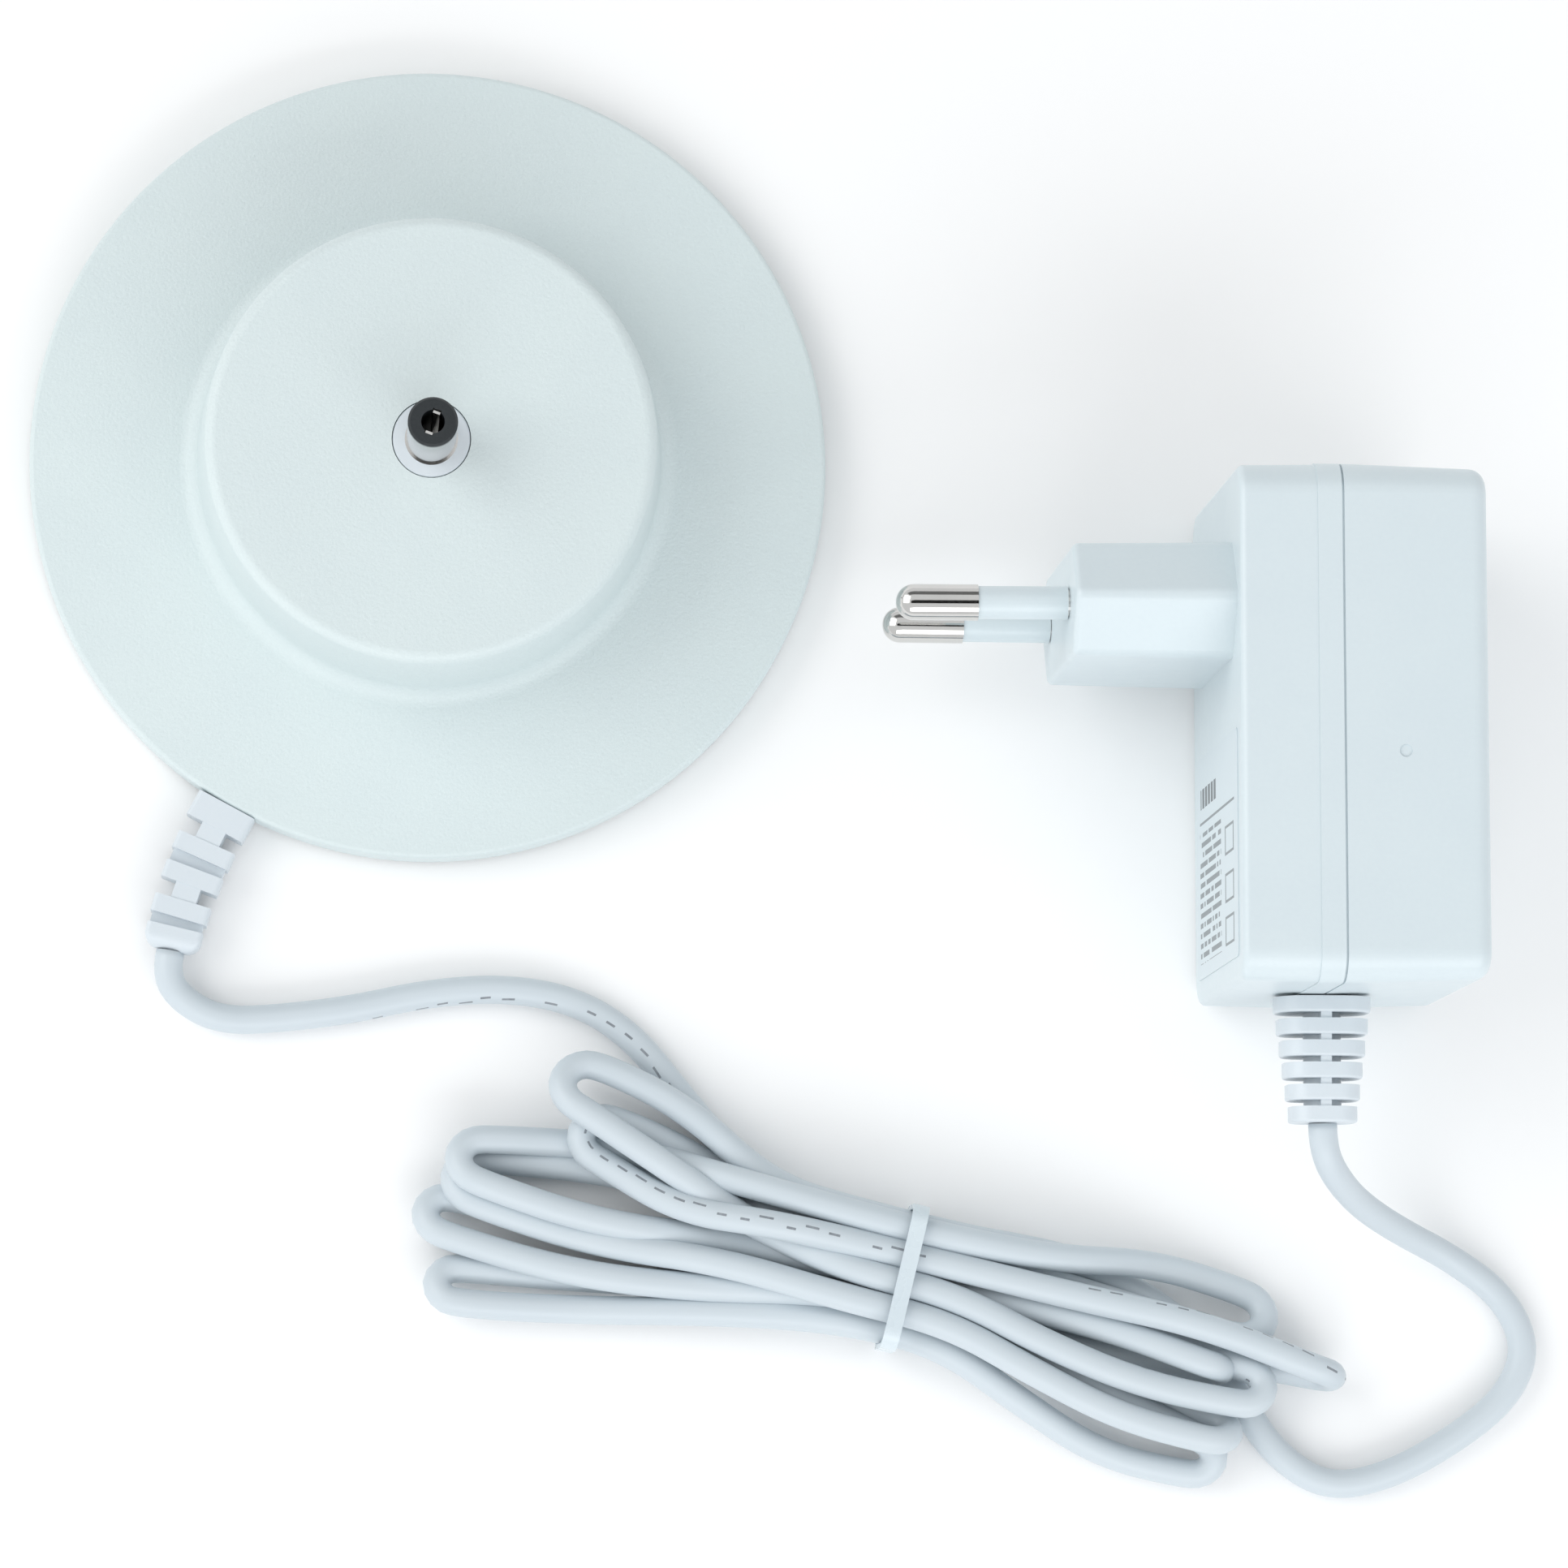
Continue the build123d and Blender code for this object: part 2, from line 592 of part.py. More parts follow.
def cord_base_run():
    """Cord from the stand's relief to the hank, lying on the table after its first drop."""
    lie = CORD_DIAMETER / 2 + 0.05
    out = (relief_place(relief_stations()[-1][2]) * Pos(CORD_FIRST_RUN, 0, 0)).position
    points = [
        relief_end(),
        out,
        Vector(-26.7, -61.4, 2.0),
        Vector(-22.5, -63.2, lie),
        Vector(-16.5, -62.9, lie),
        Vector(-8.5, -61.9, lie),
        Vector(0.5, -59.9, lie),
        Vector(9.3, -59.3, lie),
        Vector(17.3, -60.8, lie),
        Vector(23.6, -64.9, lie),
        Vector(28.6, -71.2, lie),
    ]
    return tube_along("cord_base_run", points, CORD_DIAMETER)


def cord_adapter_run():
    """Cord from the hank's right end round to the power supply's relief, 20 mm up."""
    lie = CORD_DIAMETER / 2 + 0.05
    end = adapter_relief_end()
    points = [
        Vector(*end),
        Vector(end[0], end[1] - 3.2, end[2]),
        Vector(101.4, -81.8, 15.2),
        Vector(109.2, -85.6, 6.4),
        Vector(116.2, -88.5, 2.7),
        Vector(122.6, -92.6, lie),
        Vector(125.2, -99.0, lie),
        Vector(122.4, -105.2, lie),
        Vector(115.8, -110.2, lie),
        Vector(108.6, -114.0, lie),
        Vector(101.8, -115.3, lie),
        Vector(96.0, -111.6, lie),
        Vector(92.2, -105.9, lie),
        Vector(87.6, -100.9, lie),
    ]
    return tube_along("cord_adapter_run", points, CORD_DIAMETER)


def hank_place():
    """Location of the hank's middle on the table, x along the hank."""
    return Pos(HANK_CENTRE[0], HANK_CENTRE[1], 0) * Rot(0, 0, HANK_ANGLE)


def tie_ring_outside():
    """Block with the outside of the band."""
    size = (TIE_WIDTH, TIE_INNER_WIDTH + 2 * TIE_THICKNESS, TIE_INNER_HEIGHT + 2 * TIE_THICKNESS)
    ring = Box(*size, align=UP_FROM_BASE)
    return fillet(ring.edges().filter_by(Axis.X), TIE_CORNER_RADIUS)


def tie_ring_inside():
    """Block with the inside of the band."""
    ring = Pos(0, 0, TIE_THICKNESS) * Box(TIE_WIDTH, TIE_INNER_WIDTH, TIE_INNER_HEIGHT, align=UP_FROM_BASE)
    return fillet(ring.edges().filter_by(Axis.X), TIE_CORNER_RADIUS - TIE_THICKNESS)


def cord_hank():
    """Outer shape of the hank: two fans of loops and the waist that the band holds."""
    outline = Polyline(
        (-43, 16), (-56, 4), (-57, -6), (-51, -17), (-34, -15), (-16, -9.5), (0, -7.6),
        (14, -12.5), (32, -17), (40, -16.5), (48, -8), (53, 0), (46, 8), (34, 10.5),
        (14, 8.2), (0, 7.6), (-16, 10), (-28, 14.5),
        close=True,
    )  # fmt: skip
    hank = extrude(make_face(outline), HANK_HEIGHT)
    corners = hank.edges().filter_by(Axis.Z)
    hank = fillet(corners, 2.0)
    waist_height = TIE_THICKNESS + TIE_INNER_HEIGHT
    waist = Box(HANK_WAIST_LENGTH, TIE_INNER_WIDTH - 0.4, waist_height, align=UP_FROM_BASE)
    hank += fillet(waist.edges().filter_by(Axis.X), 2.0)
    hank = hank - tie_ring_room() + tie_ring_inside()
    return hank_place() * hank


def tie_ring_room():
    """Slot all round the hank where the band lies."""
    return Pos(0, 0, -1) * Box(TIE_WIDTH, 60, 40, align=UP_FROM_BASE)


def hank_tie():
    """Plastic band round the hank's waist."""
    return hank_place() * (tie_ring_outside() - tie_ring_inside())


# ---------------------------------------------------------------- power supply shells


def adapter_outline(grow=0.0, radius=ADAPTER_CORNER_RADIUS):
    """Rounded rectangle of the power supply, on a plane across its depth."""
    return RectangleRounded(ADAPTER_LENGTH + 2 * grow, ADAPTER_WIDTH + 2 * grow, max(radius, 0.3))


def adapter_plane(x, backwards=False):
    """Plane across the power supply's depth at x, its normal along +X or -X."""
    centre = (x, ADAPTER_CENTRE_Y, ADAPTER_MID_Z)
    if backwards:
        return Plane(origin=centre, x_dir=(0, -1, 0), z_dir=(-1, 0, 0))
    return Plane(origin=centre, x_dir=(0, 1, 0), z_dir=(1, 0, 0))


def adapter_front_shell():
    """Front half: drafted box, open at the parting line, with the plug nose."""
    depth = ADAPTER_FRONT_DEPTH
    band = extrude(adapter_plane(PARTING_X, True) * adapter_outline(), ADAPTER_BAND)
    low_face = adapter_plane(PARTING_X - ADAPTER_BAND + 0.01, True)
    body = extrude(
        low_face * adapter_outline(-ADAPTER_BAND_STEP),
        depth - ADAPTER_BAND + 0.01,
        taper=ADAPTER_FRONT_DRAFT,
    )
    body = fillet(body.edges().group_by(Axis.X)[0], ADAPTER_EDGE_RADIUS)
    shell = body + band
    shell -= parting_groove()
    nose = adapter_nose(0.0, NOSE_TIP_X, ADAPTER_FRONT_X + 1.0)
    nose = fillet(nose.edges().group_by(Axis.X)[0], NOSE_EDGE_RADIUS)
    shell += nose
    wall = ADAPTER_WALL
    cavity = extrude(
        adapter_plane(PARTING_X + 0.01, True) * adapter_outline(-wall, ADAPTER_CORNER_RADIUS - wall),
        depth - wall + 0.01,
        taper=ADAPTER_FRONT_DRAFT,
    )
    shell -= cavity
    shell -= adapter_nose(-NOSE_WALL, NOSE_TIP_X + NOSE_END_WALL, ADAPTER_FRONT_X + wall + 0.5)
    shell -= tongue_ring(TONGUE_CLEARANCE)
    shell += board_stand_offs()
    shell -= pin_holes()
    return shell - adapter_relief_room()


def parting_groove():
    """Fine V of shadow at the front shell's edge."""
    outside = extrude(adapter_plane(PARTING_X, True) * adapter_outline(1.0), PARTING_GROOVE)
    inside = extrude(adapter_plane(PARTING_X, True) * adapter_outline(-PARTING_GROOVE), PARTING_GROOVE)
    return outside - inside


def adapter_nose(grow, tip_x, root_x):
    """Long six-sided nose that carries the mains pins, pointed at both narrow ends."""
    length = root_x - tip_x
    half_w = NOSE_WIDTH / 2 + grow * 1.3
    half_f = NOSE_FLAT_WIDTH / 2 + grow * 0.4
    half_t = NOSE_THICKNESS / 2 + grow
    plane = Plane(
        origin=(root_x, NOSE_CENTRE_Y, ADAPTER_MID_Z), x_dir=(0, 0, 1), z_dir=(-1, 0, 0)
    )
    outline = Polyline(
        (half_w, 0), (half_f, half_t), (-half_f, half_t), (-half_w, 0), (-half_f, -half_t), (half_f, -half_t),
        close=True,
    )  # fmt: skip
    face = make_face(outline)
    face = fillet(face.vertices(), NOSE_RIDGE_RADIUS if grow == 0 else NOSE_CAVITY_RADIUS)
    return extrude(plane * face, length, taper=NOSE_DRAFT)


def tongue_ring(clearance):
    """Ring of the rear shell's tongue, grown by a clearance."""
    outer = -ADAPTER_WALL / 2 + clearance
    inner = outer - TONGUE_THICKNESS - 2 * clearance
    height = TONGUE_HEIGHT + clearance
    plane = adapter_plane(PARTING_X, True)
    ring = extrude(plane * adapter_outline(outer, ADAPTER_CORNER_RADIUS + outer), height)
    return ring - extrude(plane * adapter_outline(inner, ADAPTER_CORNER_RADIUS + inner), height)


def adapter_rear_shell():
    """Rear half: drafted cup with a tongue that seats in the front half."""
    body = extrude(
        adapter_plane(PARTING_X) * adapter_outline(), ADAPTER_REAR_DEPTH, taper=ADAPTER_REAR_DRAFT
    )
    body = fillet(body.edges().group_by(Axis.X)[-1], ADAPTER_BACK_RADIUS)
    wall = ADAPTER_WALL
    body -= extrude(
        adapter_plane(PARTING_X - 0.01) * adapter_outline(-wall, ADAPTER_CORNER_RADIUS - wall),
        ADAPTER_REAR_DEPTH - wall + 0.01,
        taper=ADAPTER_REAR_DRAFT,
    )
    body += tongue_ring(0.0)
    slope = sin(radians(ADAPTER_REAR_DRAFT)) * GATE_MARK_SET_BACK
    mark_low = ADAPTER_WIDTH - slope - GATE_MARK_DEPTH
    mark_at = (PARTING_X + GATE_MARK_SET_BACK, ADAPTER_CENTRE_Y - GATE_MARK_OFFSET)
    body -= disc(GATE_MARK_DIAMETER, mark_low, ADAPTER_WIDTH + 1, mark_at)
    return body - adapter_relief_room()


def board_stand_offs():
    """Four stubs on the front shell's floor that carry the circuit board."""
    stubs = None
    for side_y in (-1, 1):
        for side_z in (-1, 1):
            y = ADAPTER_CENTRE_Y + side_y * (BOARD_LENGTH / 2 - STAND_OFF_SIZE / 2 - 0.5)
            z = ADAPTER_MID_Z + side_z * (BOARD_WIDTH / 2 - STAND_OFF_SIZE / 2 - 0.5)
            half = STAND_OFF_SIZE / 2
            low_x = ADAPTER_FRONT_X + ADAPTER_WALL - 0.5
            stub = block((low_x, y - half, z - half), (BOARD_X, y + half, z + half))
            stubs = stub if stubs is None else stubs + stub
    return stubs


# ---------------------------------------------------------------- mains pins


def pin_place(side):
    """Location of a pin's root on the nose's end face, x along the pin towards its tip."""
    lean = degrees(atan2((PIN_SPACING_ROOT - PIN_SPACING_TIP) / 2, PIN_LENGTH))
    at = Pos(NOSE_TIP_X, NOSE_CENTRE_Y, ADAPTER_MID_Z + side * PIN_SPACING_ROOT / 2)
    return at * Rot(0, -side * lean, 0) * Rot(0, 0, 180)


def along_x(diameter, start, end):
    """Cylinder along x between two places."""
    return rod(diameter / 2, (start, 0, 0), (end, 0, 0))


def contact_pin(side):
    """Round pin: full head with a domed tip, thinner core through its sleeve, collar inside."""
    head_start = PIN_SLEEVE_LENGTH
    head = along_x(PIN_DIAMETER, head_start, PIN_LENGTH)
    head = fillet(head.edges().group_by(Axis.X)[-1], PIN_DIAMETER / 2 - 0.05)
    collar_end = -NOSE_END_WALL
    pin = head + along_x(PIN_CORE_DIAMETER, collar_end - PIN_COLLAR_THICKNESS - PIN_TAIL, head_start)
    pin += along_x(PIN_COLLAR_DIAMETER, collar_end - PIN_COLLAR_THICKNESS - 0.3, collar_end - 0.3)
    return pin_place(side) * pin


def contact_pins():
    """The two mains pins."""
    return [contact_pin(side) for side in (-1, 1)]


def pin_sleeves():
    """Insulating collars between the nose and the bare ends of the pins."""
    sleeves = []
    for side in (-1, 1):
        tube = along_x(PIN_SLEEVE_DIAMETER, 0.15, PIN_SLEEVE_LENGTH)
        tube -= along_x(PIN_CORE_DIAMETER + 2 * PIN_CLEARANCE, -1, PIN_SLEEVE_LENGTH + 1)
        sleeves.append(pin_place(side) * tube)
    return sleeves


def pin_holes():
    """Holes for the pins through the nose's end wall."""
    hole = along_x(PIN_CORE_DIAMETER + 2 * PIN_CLEARANCE, -NOSE_END_WALL - 1, 1)
    return pin_place(-1) * hole + pin_place(1) * hole


def pin_tail_end(side):
    """Middle of the inner end of a pin."""
    inner = -NOSE_END_WALL - PIN_COLLAR_THICKNESS - PIN_TAIL
    return (pin_place(side) * Pos(inner, 0, 0)).position


def pin_leads():
    """Wires from the pins' inner ends to the board."""
    leads = []
    for side in (-1, 1):
        tail = pin_tail_end(side)
        leads.append(rod(CORE_DIAMETER / 2, (tail.X + 0.05, tail.Y, tail.Z), (BOARD_X, tail.Y, tail.Z)))
    return leads


# ---------------------------------------------------------------- label and adapter relief


def rating_label():
    """Thin label on the pin side, in the half away from the pins."""
    low_y = ADAPTER_BOTTOM_Y + LABEL_END_GAP
    middle = (ADAPTER_FRONT_X, low_y + LABEL_LENGTH / 2, ADAPTER_MID_Z)
    plane = Plane(origin=middle, x_dir=(0, -1, 0), z_dir=(-1, 0, 0))
    return extrude(plane * RectangleRounded(LABEL_LENGTH, LABEL_WIDTH, 1.0), LABEL_THICKNESS)


def adapter_relief_end():
    """Middle of the adapter relief's end face."""
    return (PARTING_X, ADAPTER_BOTTOM_Y - 0.2 - ADAPTER_RELIEF_LENGTH, ADAPTER_MID_Z)


def adapter_relief_room():
    """Hole for the relief's neck in the bottom wall, shared by both shells."""
    radius = ADAPTER_RELIEF_NECK / 2 + ADAPTER_RELIEF_CLEARANCE
    start = (PARTING_X, ADAPTER_BOTTOM_Y - 1, ADAPTER_MID_Z)
    end = (PARTING_X, ADAPTER_BOTTOM_Y + ADAPTER_WALL + 3, ADAPTER_MID_Z)
    room = rod(radius, start, end)
    inside = ADAPTER_BOTTOM_Y + ADAPTER_WALL - 0.6
    collar = rod(
        ADAPTER_RELIEF_COLLAR / 2 + ADAPTER_RELIEF_CLEARANCE,
        (PARTING_X, inside, ADAPTER_MID_Z),
        (PARTING_X, inside + 3, ADAPTER_MID_Z),
    )
    return room + collar


def adapter_strain_relief():
    """Ribbed relief: ribs on a round core, joined by one thin upright spine."""
    first = ADAPTER_BOTTOM_Y - 0.2
    last = first - ADAPTER_RELIEF_LENGTH
    start, end = (PARTING_X, first + 1, ADAPTER_MID_Z), (PARTING_X, last, ADAPTER_MID_Z)
    core = rod(ADAPTER_RELIEF_CORE / 2, start, end)
    relief = core
    for k in range(ADAPTER_RELIEF_RIBS):
        share = k / (ADAPTER_RELIEF_RIBS - 1)
        width = ADAPTER_RELIEF_ROOT_WIDTH + share * (ADAPTER_RELIEF_END_WIDTH - ADAPTER_RELIEF_ROOT_WIDTH)
        height = ADAPTER_RELIEF_ROOT_HEIGHT + share * (
            ADAPTER_RELIEF_END_HEIGHT - ADAPTER_RELIEF_ROOT_HEIGHT
        )
        start = first - k * ADAPTER_RELIEF_PITCH
        plane = Plane(origin=(PARTING_X, start, ADAPTER_MID_Z), x_dir=(1, 0, 0), z_dir=(0, -1, 0))
        rib = extrude(plane * RectangleRounded(width, height, height * 0.38), ADAPTER_RELIEF_RIB)
        relief += fillet(rib.edges().group_by(Axis.Y)[0], 0.3)
        if k < ADAPTER_RELIEF_RIBS - 1:
            half = ADAPTER_RELIEF_SPINE / 2
            tall = height / 2 - 0.35
            relief += block(
                (PARTING_X - half, start - ADAPTER_RELIEF_PITCH - 0.3, ADAPTER_MID_Z - tall),
                (PARTING_X + half, start - 0.3, ADAPTER_MID_Z + tall),
            )
    inside = ADAPTER_BOTTOM_Y + ADAPTER_WALL - 0.5
    relief += rod(
        ADAPTER_RELIEF_NECK / 2, (PARTING_X, first - 0.5, ADAPTER_MID_Z), (PARTING_X, inside, ADAPTER_MID_Z)
    )
    collar_end = (PARTING_X, inside + 1.5, ADAPTER_MID_Z)
    relief += rod(ADAPTER_RELIEF_COLLAR / 2, (PARTING_X, inside, ADAPTER_MID_Z), collar_end)
    return relief


def output_leads():
    """Two cores from the relief's inner end up to the board."""
    start_y = ADAPTER_BOTTOM_Y + ADAPTER_WALL + 1.0
    landing_y = ADAPTER_CENTRE_Y - BOARD_LENGTH / 2 + OUTPUT_LANDING
    leads = []
    for side in (-1, 1):
        z = ADAPTER_MID_Z + side * CORE_SPACING
        points = [(PARTING_X, start_y, z), (PARTING_X, landing_y, z), (PARTS_X, landing_y, z)]
        path = FilletPolyline(*points, radius=[1.4])
        leads.append(sweep(Plane(origin=path @ 0, z_dir=path % 0) * Circle(CORE_DIAMETER / 2), path=path))
    return leads


# ---------------------------------------------------------------- circuit board and its parts


def on_board(part, side=1):
    """Location of a part's foot on the board, x straight out; side -1 is its twin across the middle."""
    y, z = BOARD_PLACES[part]
    return Pos(PARTS_X, ADAPTER_CENTRE_Y + y, ADAPTER_MID_Z + side * z)


def circuit_board():
    """Glass-fibre board on the front shell's stubs."""
    half_y, half_z = BOARD_LENGTH / 2, BOARD_WIDTH / 2
    return block(
        (BOARD_X, ADAPTER_CENTRE_Y - half_y, ADAPTER_MID_Z - half_z),
        (PARTS_X, ADAPTER_CENTRE_Y + half_y, ADAPTER_MID_Z + half_z),
    )


def transformer_core():
    """Ferrite core: two yokes, two outer legs and a centre leg."""
    low, high = BOBBIN_FOOT_HEIGHT, BOBBIN_FOOT_HEIGHT + CORE_HEIGHT
    half, depth = CORE_LENGTH / 2, CORE_DEPTH / 2
    core = block((low, -half, -depth), (high, half, depth))
    for side in (-1, 1):
        a, b = sorted((side * CENTRE_LEG / 2, side * (half - CORE_YOKE)))
        core -= block((low + CORE_YOKE, a, -depth), (high - CORE_YOKE, b, depth))
    return on_board("transformer") * core


def transformer_bobbin():
    """Spool on the centre leg, with feet that straddle the core down to the board."""
    gap = BOBBIN_CLEARANCE
    low = BOBBIN_FOOT_HEIGHT + CORE_YOKE + gap
    high = BOBBIN_FOOT_HEIGHT + CORE_HEIGHT - CORE_YOKE - gap
    tube = CENTRE_LEG / 2 + gap + BOBBIN_TUBE_WALL
    spool = block((low, -tube, -CORE_DEPTH / 2 - gap - BOBBIN_TUBE_WALL),
                  (high, tube, CORE_DEPTH / 2 + gap + BOBBIN_TUBE_WALL))  # fmt: skip
    for start in (low, high - BOBBIN_FLANGE_THICKNESS):
        spool += along_x(BOBBIN_FLANGE, start, start + BOBBIN_FLANGE_THICKNESS)
    half_leg, half_depth = CENTRE_LEG / 2 + gap, CORE_DEPTH / 2 + gap
    spool -= block((0, -half_leg, -half_depth), (high + 1, half_leg, half_depth))
    for side in (-1, 1):
        inner = CORE_DEPTH / 2 + gap
        a, b = sorted((side * inner, side * (inner + 2.6)))
        spool += block((0, -5.0, a), (low + BOBBIN_FLANGE_THICKNESS, 5.0, b))
    return on_board("transformer") * spool


def transformer_winding():
    """Taped coil between the bobbin's flanges."""
    gap = BOBBIN_CLEARANCE
    low = BOBBIN_FOOT_HEIGHT + CORE_YOKE + gap + BOBBIN_FLANGE_THICKNESS
    high = BOBBIN_FOOT_HEIGHT + CORE_HEIGHT - CORE_YOKE - gap - BOBBIN_FLANGE_THICKNESS
    tube_y = CENTRE_LEG / 2 + gap + BOBBIN_TUBE_WALL
    tube_z = CORE_DEPTH / 2 + gap + BOBBIN_TUBE_WALL
    coil = along_x(WINDING_DIAMETER, low, high)
    return on_board("transformer") * (coil - block((low - 1, -tube_y, -tube_z), (high + 1, tube_y, tube_z)))


def can_capacitor(place, diameter, height):
    """Upright electrolytic capacitor with a rolled groove near its foot."""
    can = along_x(diameter, 0.0, height)
    can = fillet(can.edges().group_by(Axis.X)[-1], 0.5)
    groove = along_x(diameter + 1, 1.2, 1.8) - along_x(diameter - 0.7, 1.0, 2.0)
    return place * (can - groove)


def input_capacitors():
    """The two smoothing capacitors on the mains side."""
    return [can_capacitor(on_board("input_capacitor", side), 8.0, 13.0) for side in (-1, 1)]


def output_capacitor():
    """Smoothing capacitor on the low-voltage side."""
    return can_capacitor(on_board("output_capacitor"), 8.0, 14.0)


def leaded_drum(place, diameter, length, lift, legs):
    """Part that lies along y above the board on two bent legs."""
    body = place * rod(diameter / 2, (lift, -length / 2, 0), (lift, length / 2, 0))
    for side in (-1, 1):
        start = (lift, side * (length / 2 - 0.4), 0)
        wire = FilletPolyline(start, (lift, side * legs, 0), (0, side * legs, 0), radius=[0.8])
        sketch = Plane(origin=wire @ 0, z_dir=wire % 0) * Circle(LEG_RADIUS)
        body += place * sweep(sketch, path=wire)
    return body


def fuse_resistor():
    """Fusible resistor behind one mains pin."""
    return leaded_drum(on_board("fuse_resistor"), diameter=3.6, length=9.0, lift=2.2, legs=6.2)


def output_diode():
    """Rectifier diode on the low-voltage side."""
    return leaded_drum(on_board("output_diode"), diameter=3.4, length=6.0, lift=2.1, legs=4.6)


def chip(place, length, width, height, pins, pitch):
    """Moulded chip with a row of pins along each side."""
    body = place * block(
        (CHIP_STAND_OFF, -length / 2, -width / 2), (CHIP_STAND_OFF + height, length / 2, width / 2)
    )
    for k in range(pins):
        y = (k - (pins - 1) / 2) * pitch
        for side in (-1, 1):
            a, b = sorted((side * (width / 2 - 0.3), side * (width / 2 + 0.6)))
            body += place * block((0, y - 0.3, a), (1.6, y + 0.3, b))
    return body


def bridge_rectifier():
    """Four-pin bridge rectifier."""
    return chip(on_board("bridge_rectifier"), length=6.0, width=4.6, height=2.4, pins=2, pitch=4.0)


def controller_chip():
    """Eight-pin switching controller."""
    return chip(on_board("controller_chip"), length=9.4, width=6.2, height=3.2, pins=4, pitch=2.54)


def optocoupler():
    """Four-pin optocoupler between the two sides."""
    return chip(on_board("optocoupler"), length=4.6, width=6.2, height=3.2, pins=2, pitch=2.54)


def y_capacitor():
    """Disc capacitor that stands on two leads beside the transformer."""
    place = on_board("y_capacitor")
    body = place * Pos(6.0, 0, 0) * Rot(90, 0, 0) * Cylinder(3.6, 2.8)
    body = fillet(body.edges().filter_by(GeomType.CIRCLE), 0.8)
    for side in (-1, 1):
        body += place * rod(LEG_RADIUS, (0, 0, side * 2.0), (4.0, 0, side * 2.0))
    return body


# ---------------------------------------------------------------- build


def build_parts():
    """Every sub-part by its node name."""
    tag = (BARREL_DIAMETER - BARREL_WALL) / 2
    low = PLUG_BOTTOM - TAG_LENGTH - CORE_DIAMETER / 2
    return {
        "base_top_shell": base_top_shell(),
        "base_bottom_cover": base_bottom_cover(),
        "cover_screws": cover_screws(),
        "rubber_feet": rubber_feet(),
        "ballast_plate": ballast_plate(),
        "plug_body": plug_body(),
        "barrel_sleeve": barrel_sleeve(),
        "barrel_insulator": barrel_insulator(),
        "fork_contact": fork_contact(),
        "plug_retainer": plug_retainer(),
        "retainer_screws": retainer_screws(),
        "base_lead_positive": base_lead(-1, (0, 0, low + CORE_DIAMETER / 2)),
        "base_lead_negative": base_lead(1, (tag, 0, low + CORE_DIAMETER / 2)),
        "base_strain_relief": base_strain_relief(),
        "cord_base_run": cord_base_run(),
        "cord_hank": cord_hank(),
        "hank_tie": hank_tie(),
        "cord_adapter_run": cord_adapter_run(),
        "adapter_front_shell": adapter_front_shell(),
        "adapter_rear_shell": adapter_rear_shell(),
        "contact_pins": contact_pins(),
        "pin_sleeves": pin_sleeves(),
        "rating_label": rating_label(),
        "adapter_strain_relief": adapter_strain_relief(),
        "pin_leads": pin_leads(),
        "output_leads": output_leads(),
        "circuit_board": circuit_board(),
        "transformer_core": transformer_core(),
        "transformer_bobbin": transformer_bobbin(),
        "transformer_winding": transformer_winding(),
        "input_capacitors": input_capacitors(),
        "output_capacitor": output_capacitor(),
        "fuse_resistor": fuse_resistor(),
        "bridge_rectifier": bridge_rectifier(),
        "controller_chip": controller_chip(),
        "optocoupler": optocoupler(),
        "output_diode": output_diode(),
        "y_capacitor": y_capacitor(),
    }


def main():
    """Write one STEP file per sub-part."""
    os.makedirs("parts", exist_ok=True)
    for name, shape in build_parts().items():
        if isinstance(shape, list):
            shape = Compound(children=[solid for piece in shape for solid in piece.solids()])
        export_step(shape, f"parts/{name}.step")


main()
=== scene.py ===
# %% [markdown]
# # A charging stand, its cord and its power supply
# The object is a round white stand with a barrel plug in its middle. A thin white cord leaves the rim, is
# folded into a hank with a plastic band round it, and ends in a power supply that lies on its side.
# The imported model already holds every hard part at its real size. Blender adds what CAD leaves plain: the
# cord as one continuous tube, and a finish made of nodes for each plastic, metal and film.

import math

import bpy
import numpy as np
from mathutils import Matrix, Vector


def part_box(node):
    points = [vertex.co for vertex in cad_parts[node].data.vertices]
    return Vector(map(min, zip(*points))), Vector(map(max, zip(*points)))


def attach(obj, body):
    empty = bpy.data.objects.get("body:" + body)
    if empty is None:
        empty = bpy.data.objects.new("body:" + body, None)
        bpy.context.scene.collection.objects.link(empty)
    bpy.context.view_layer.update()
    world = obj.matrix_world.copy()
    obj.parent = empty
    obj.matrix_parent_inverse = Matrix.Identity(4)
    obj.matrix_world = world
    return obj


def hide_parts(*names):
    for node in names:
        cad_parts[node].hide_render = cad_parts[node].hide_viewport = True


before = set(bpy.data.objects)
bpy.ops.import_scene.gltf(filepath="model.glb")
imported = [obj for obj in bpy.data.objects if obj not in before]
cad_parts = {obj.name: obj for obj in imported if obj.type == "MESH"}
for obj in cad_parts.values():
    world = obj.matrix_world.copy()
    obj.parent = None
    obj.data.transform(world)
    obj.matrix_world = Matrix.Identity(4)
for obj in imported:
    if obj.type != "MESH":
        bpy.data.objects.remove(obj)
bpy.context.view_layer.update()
MM = 0.001

# %% [markdown]
# ## Camera
# A product camera looks almost straight down through a long lens, so upright walls nearly vanish behind
# their tops. A long lens far away keeps the round disc round. The camera's three axes are worked out from
# the line of sight and from the table's +Y, which is up in the picture, and put in its matrix as columns.

# %% Camera
SIGHT = Vector((-0.06975, -0.1185, 1.0)).normalized()  # from the target to the camera
TARGET = Vector((40.6, -35.7, 0.0)) * MM
DISTANCE = 0.738
LENS_MM = 149.0
SENSOR_MM = 36.0


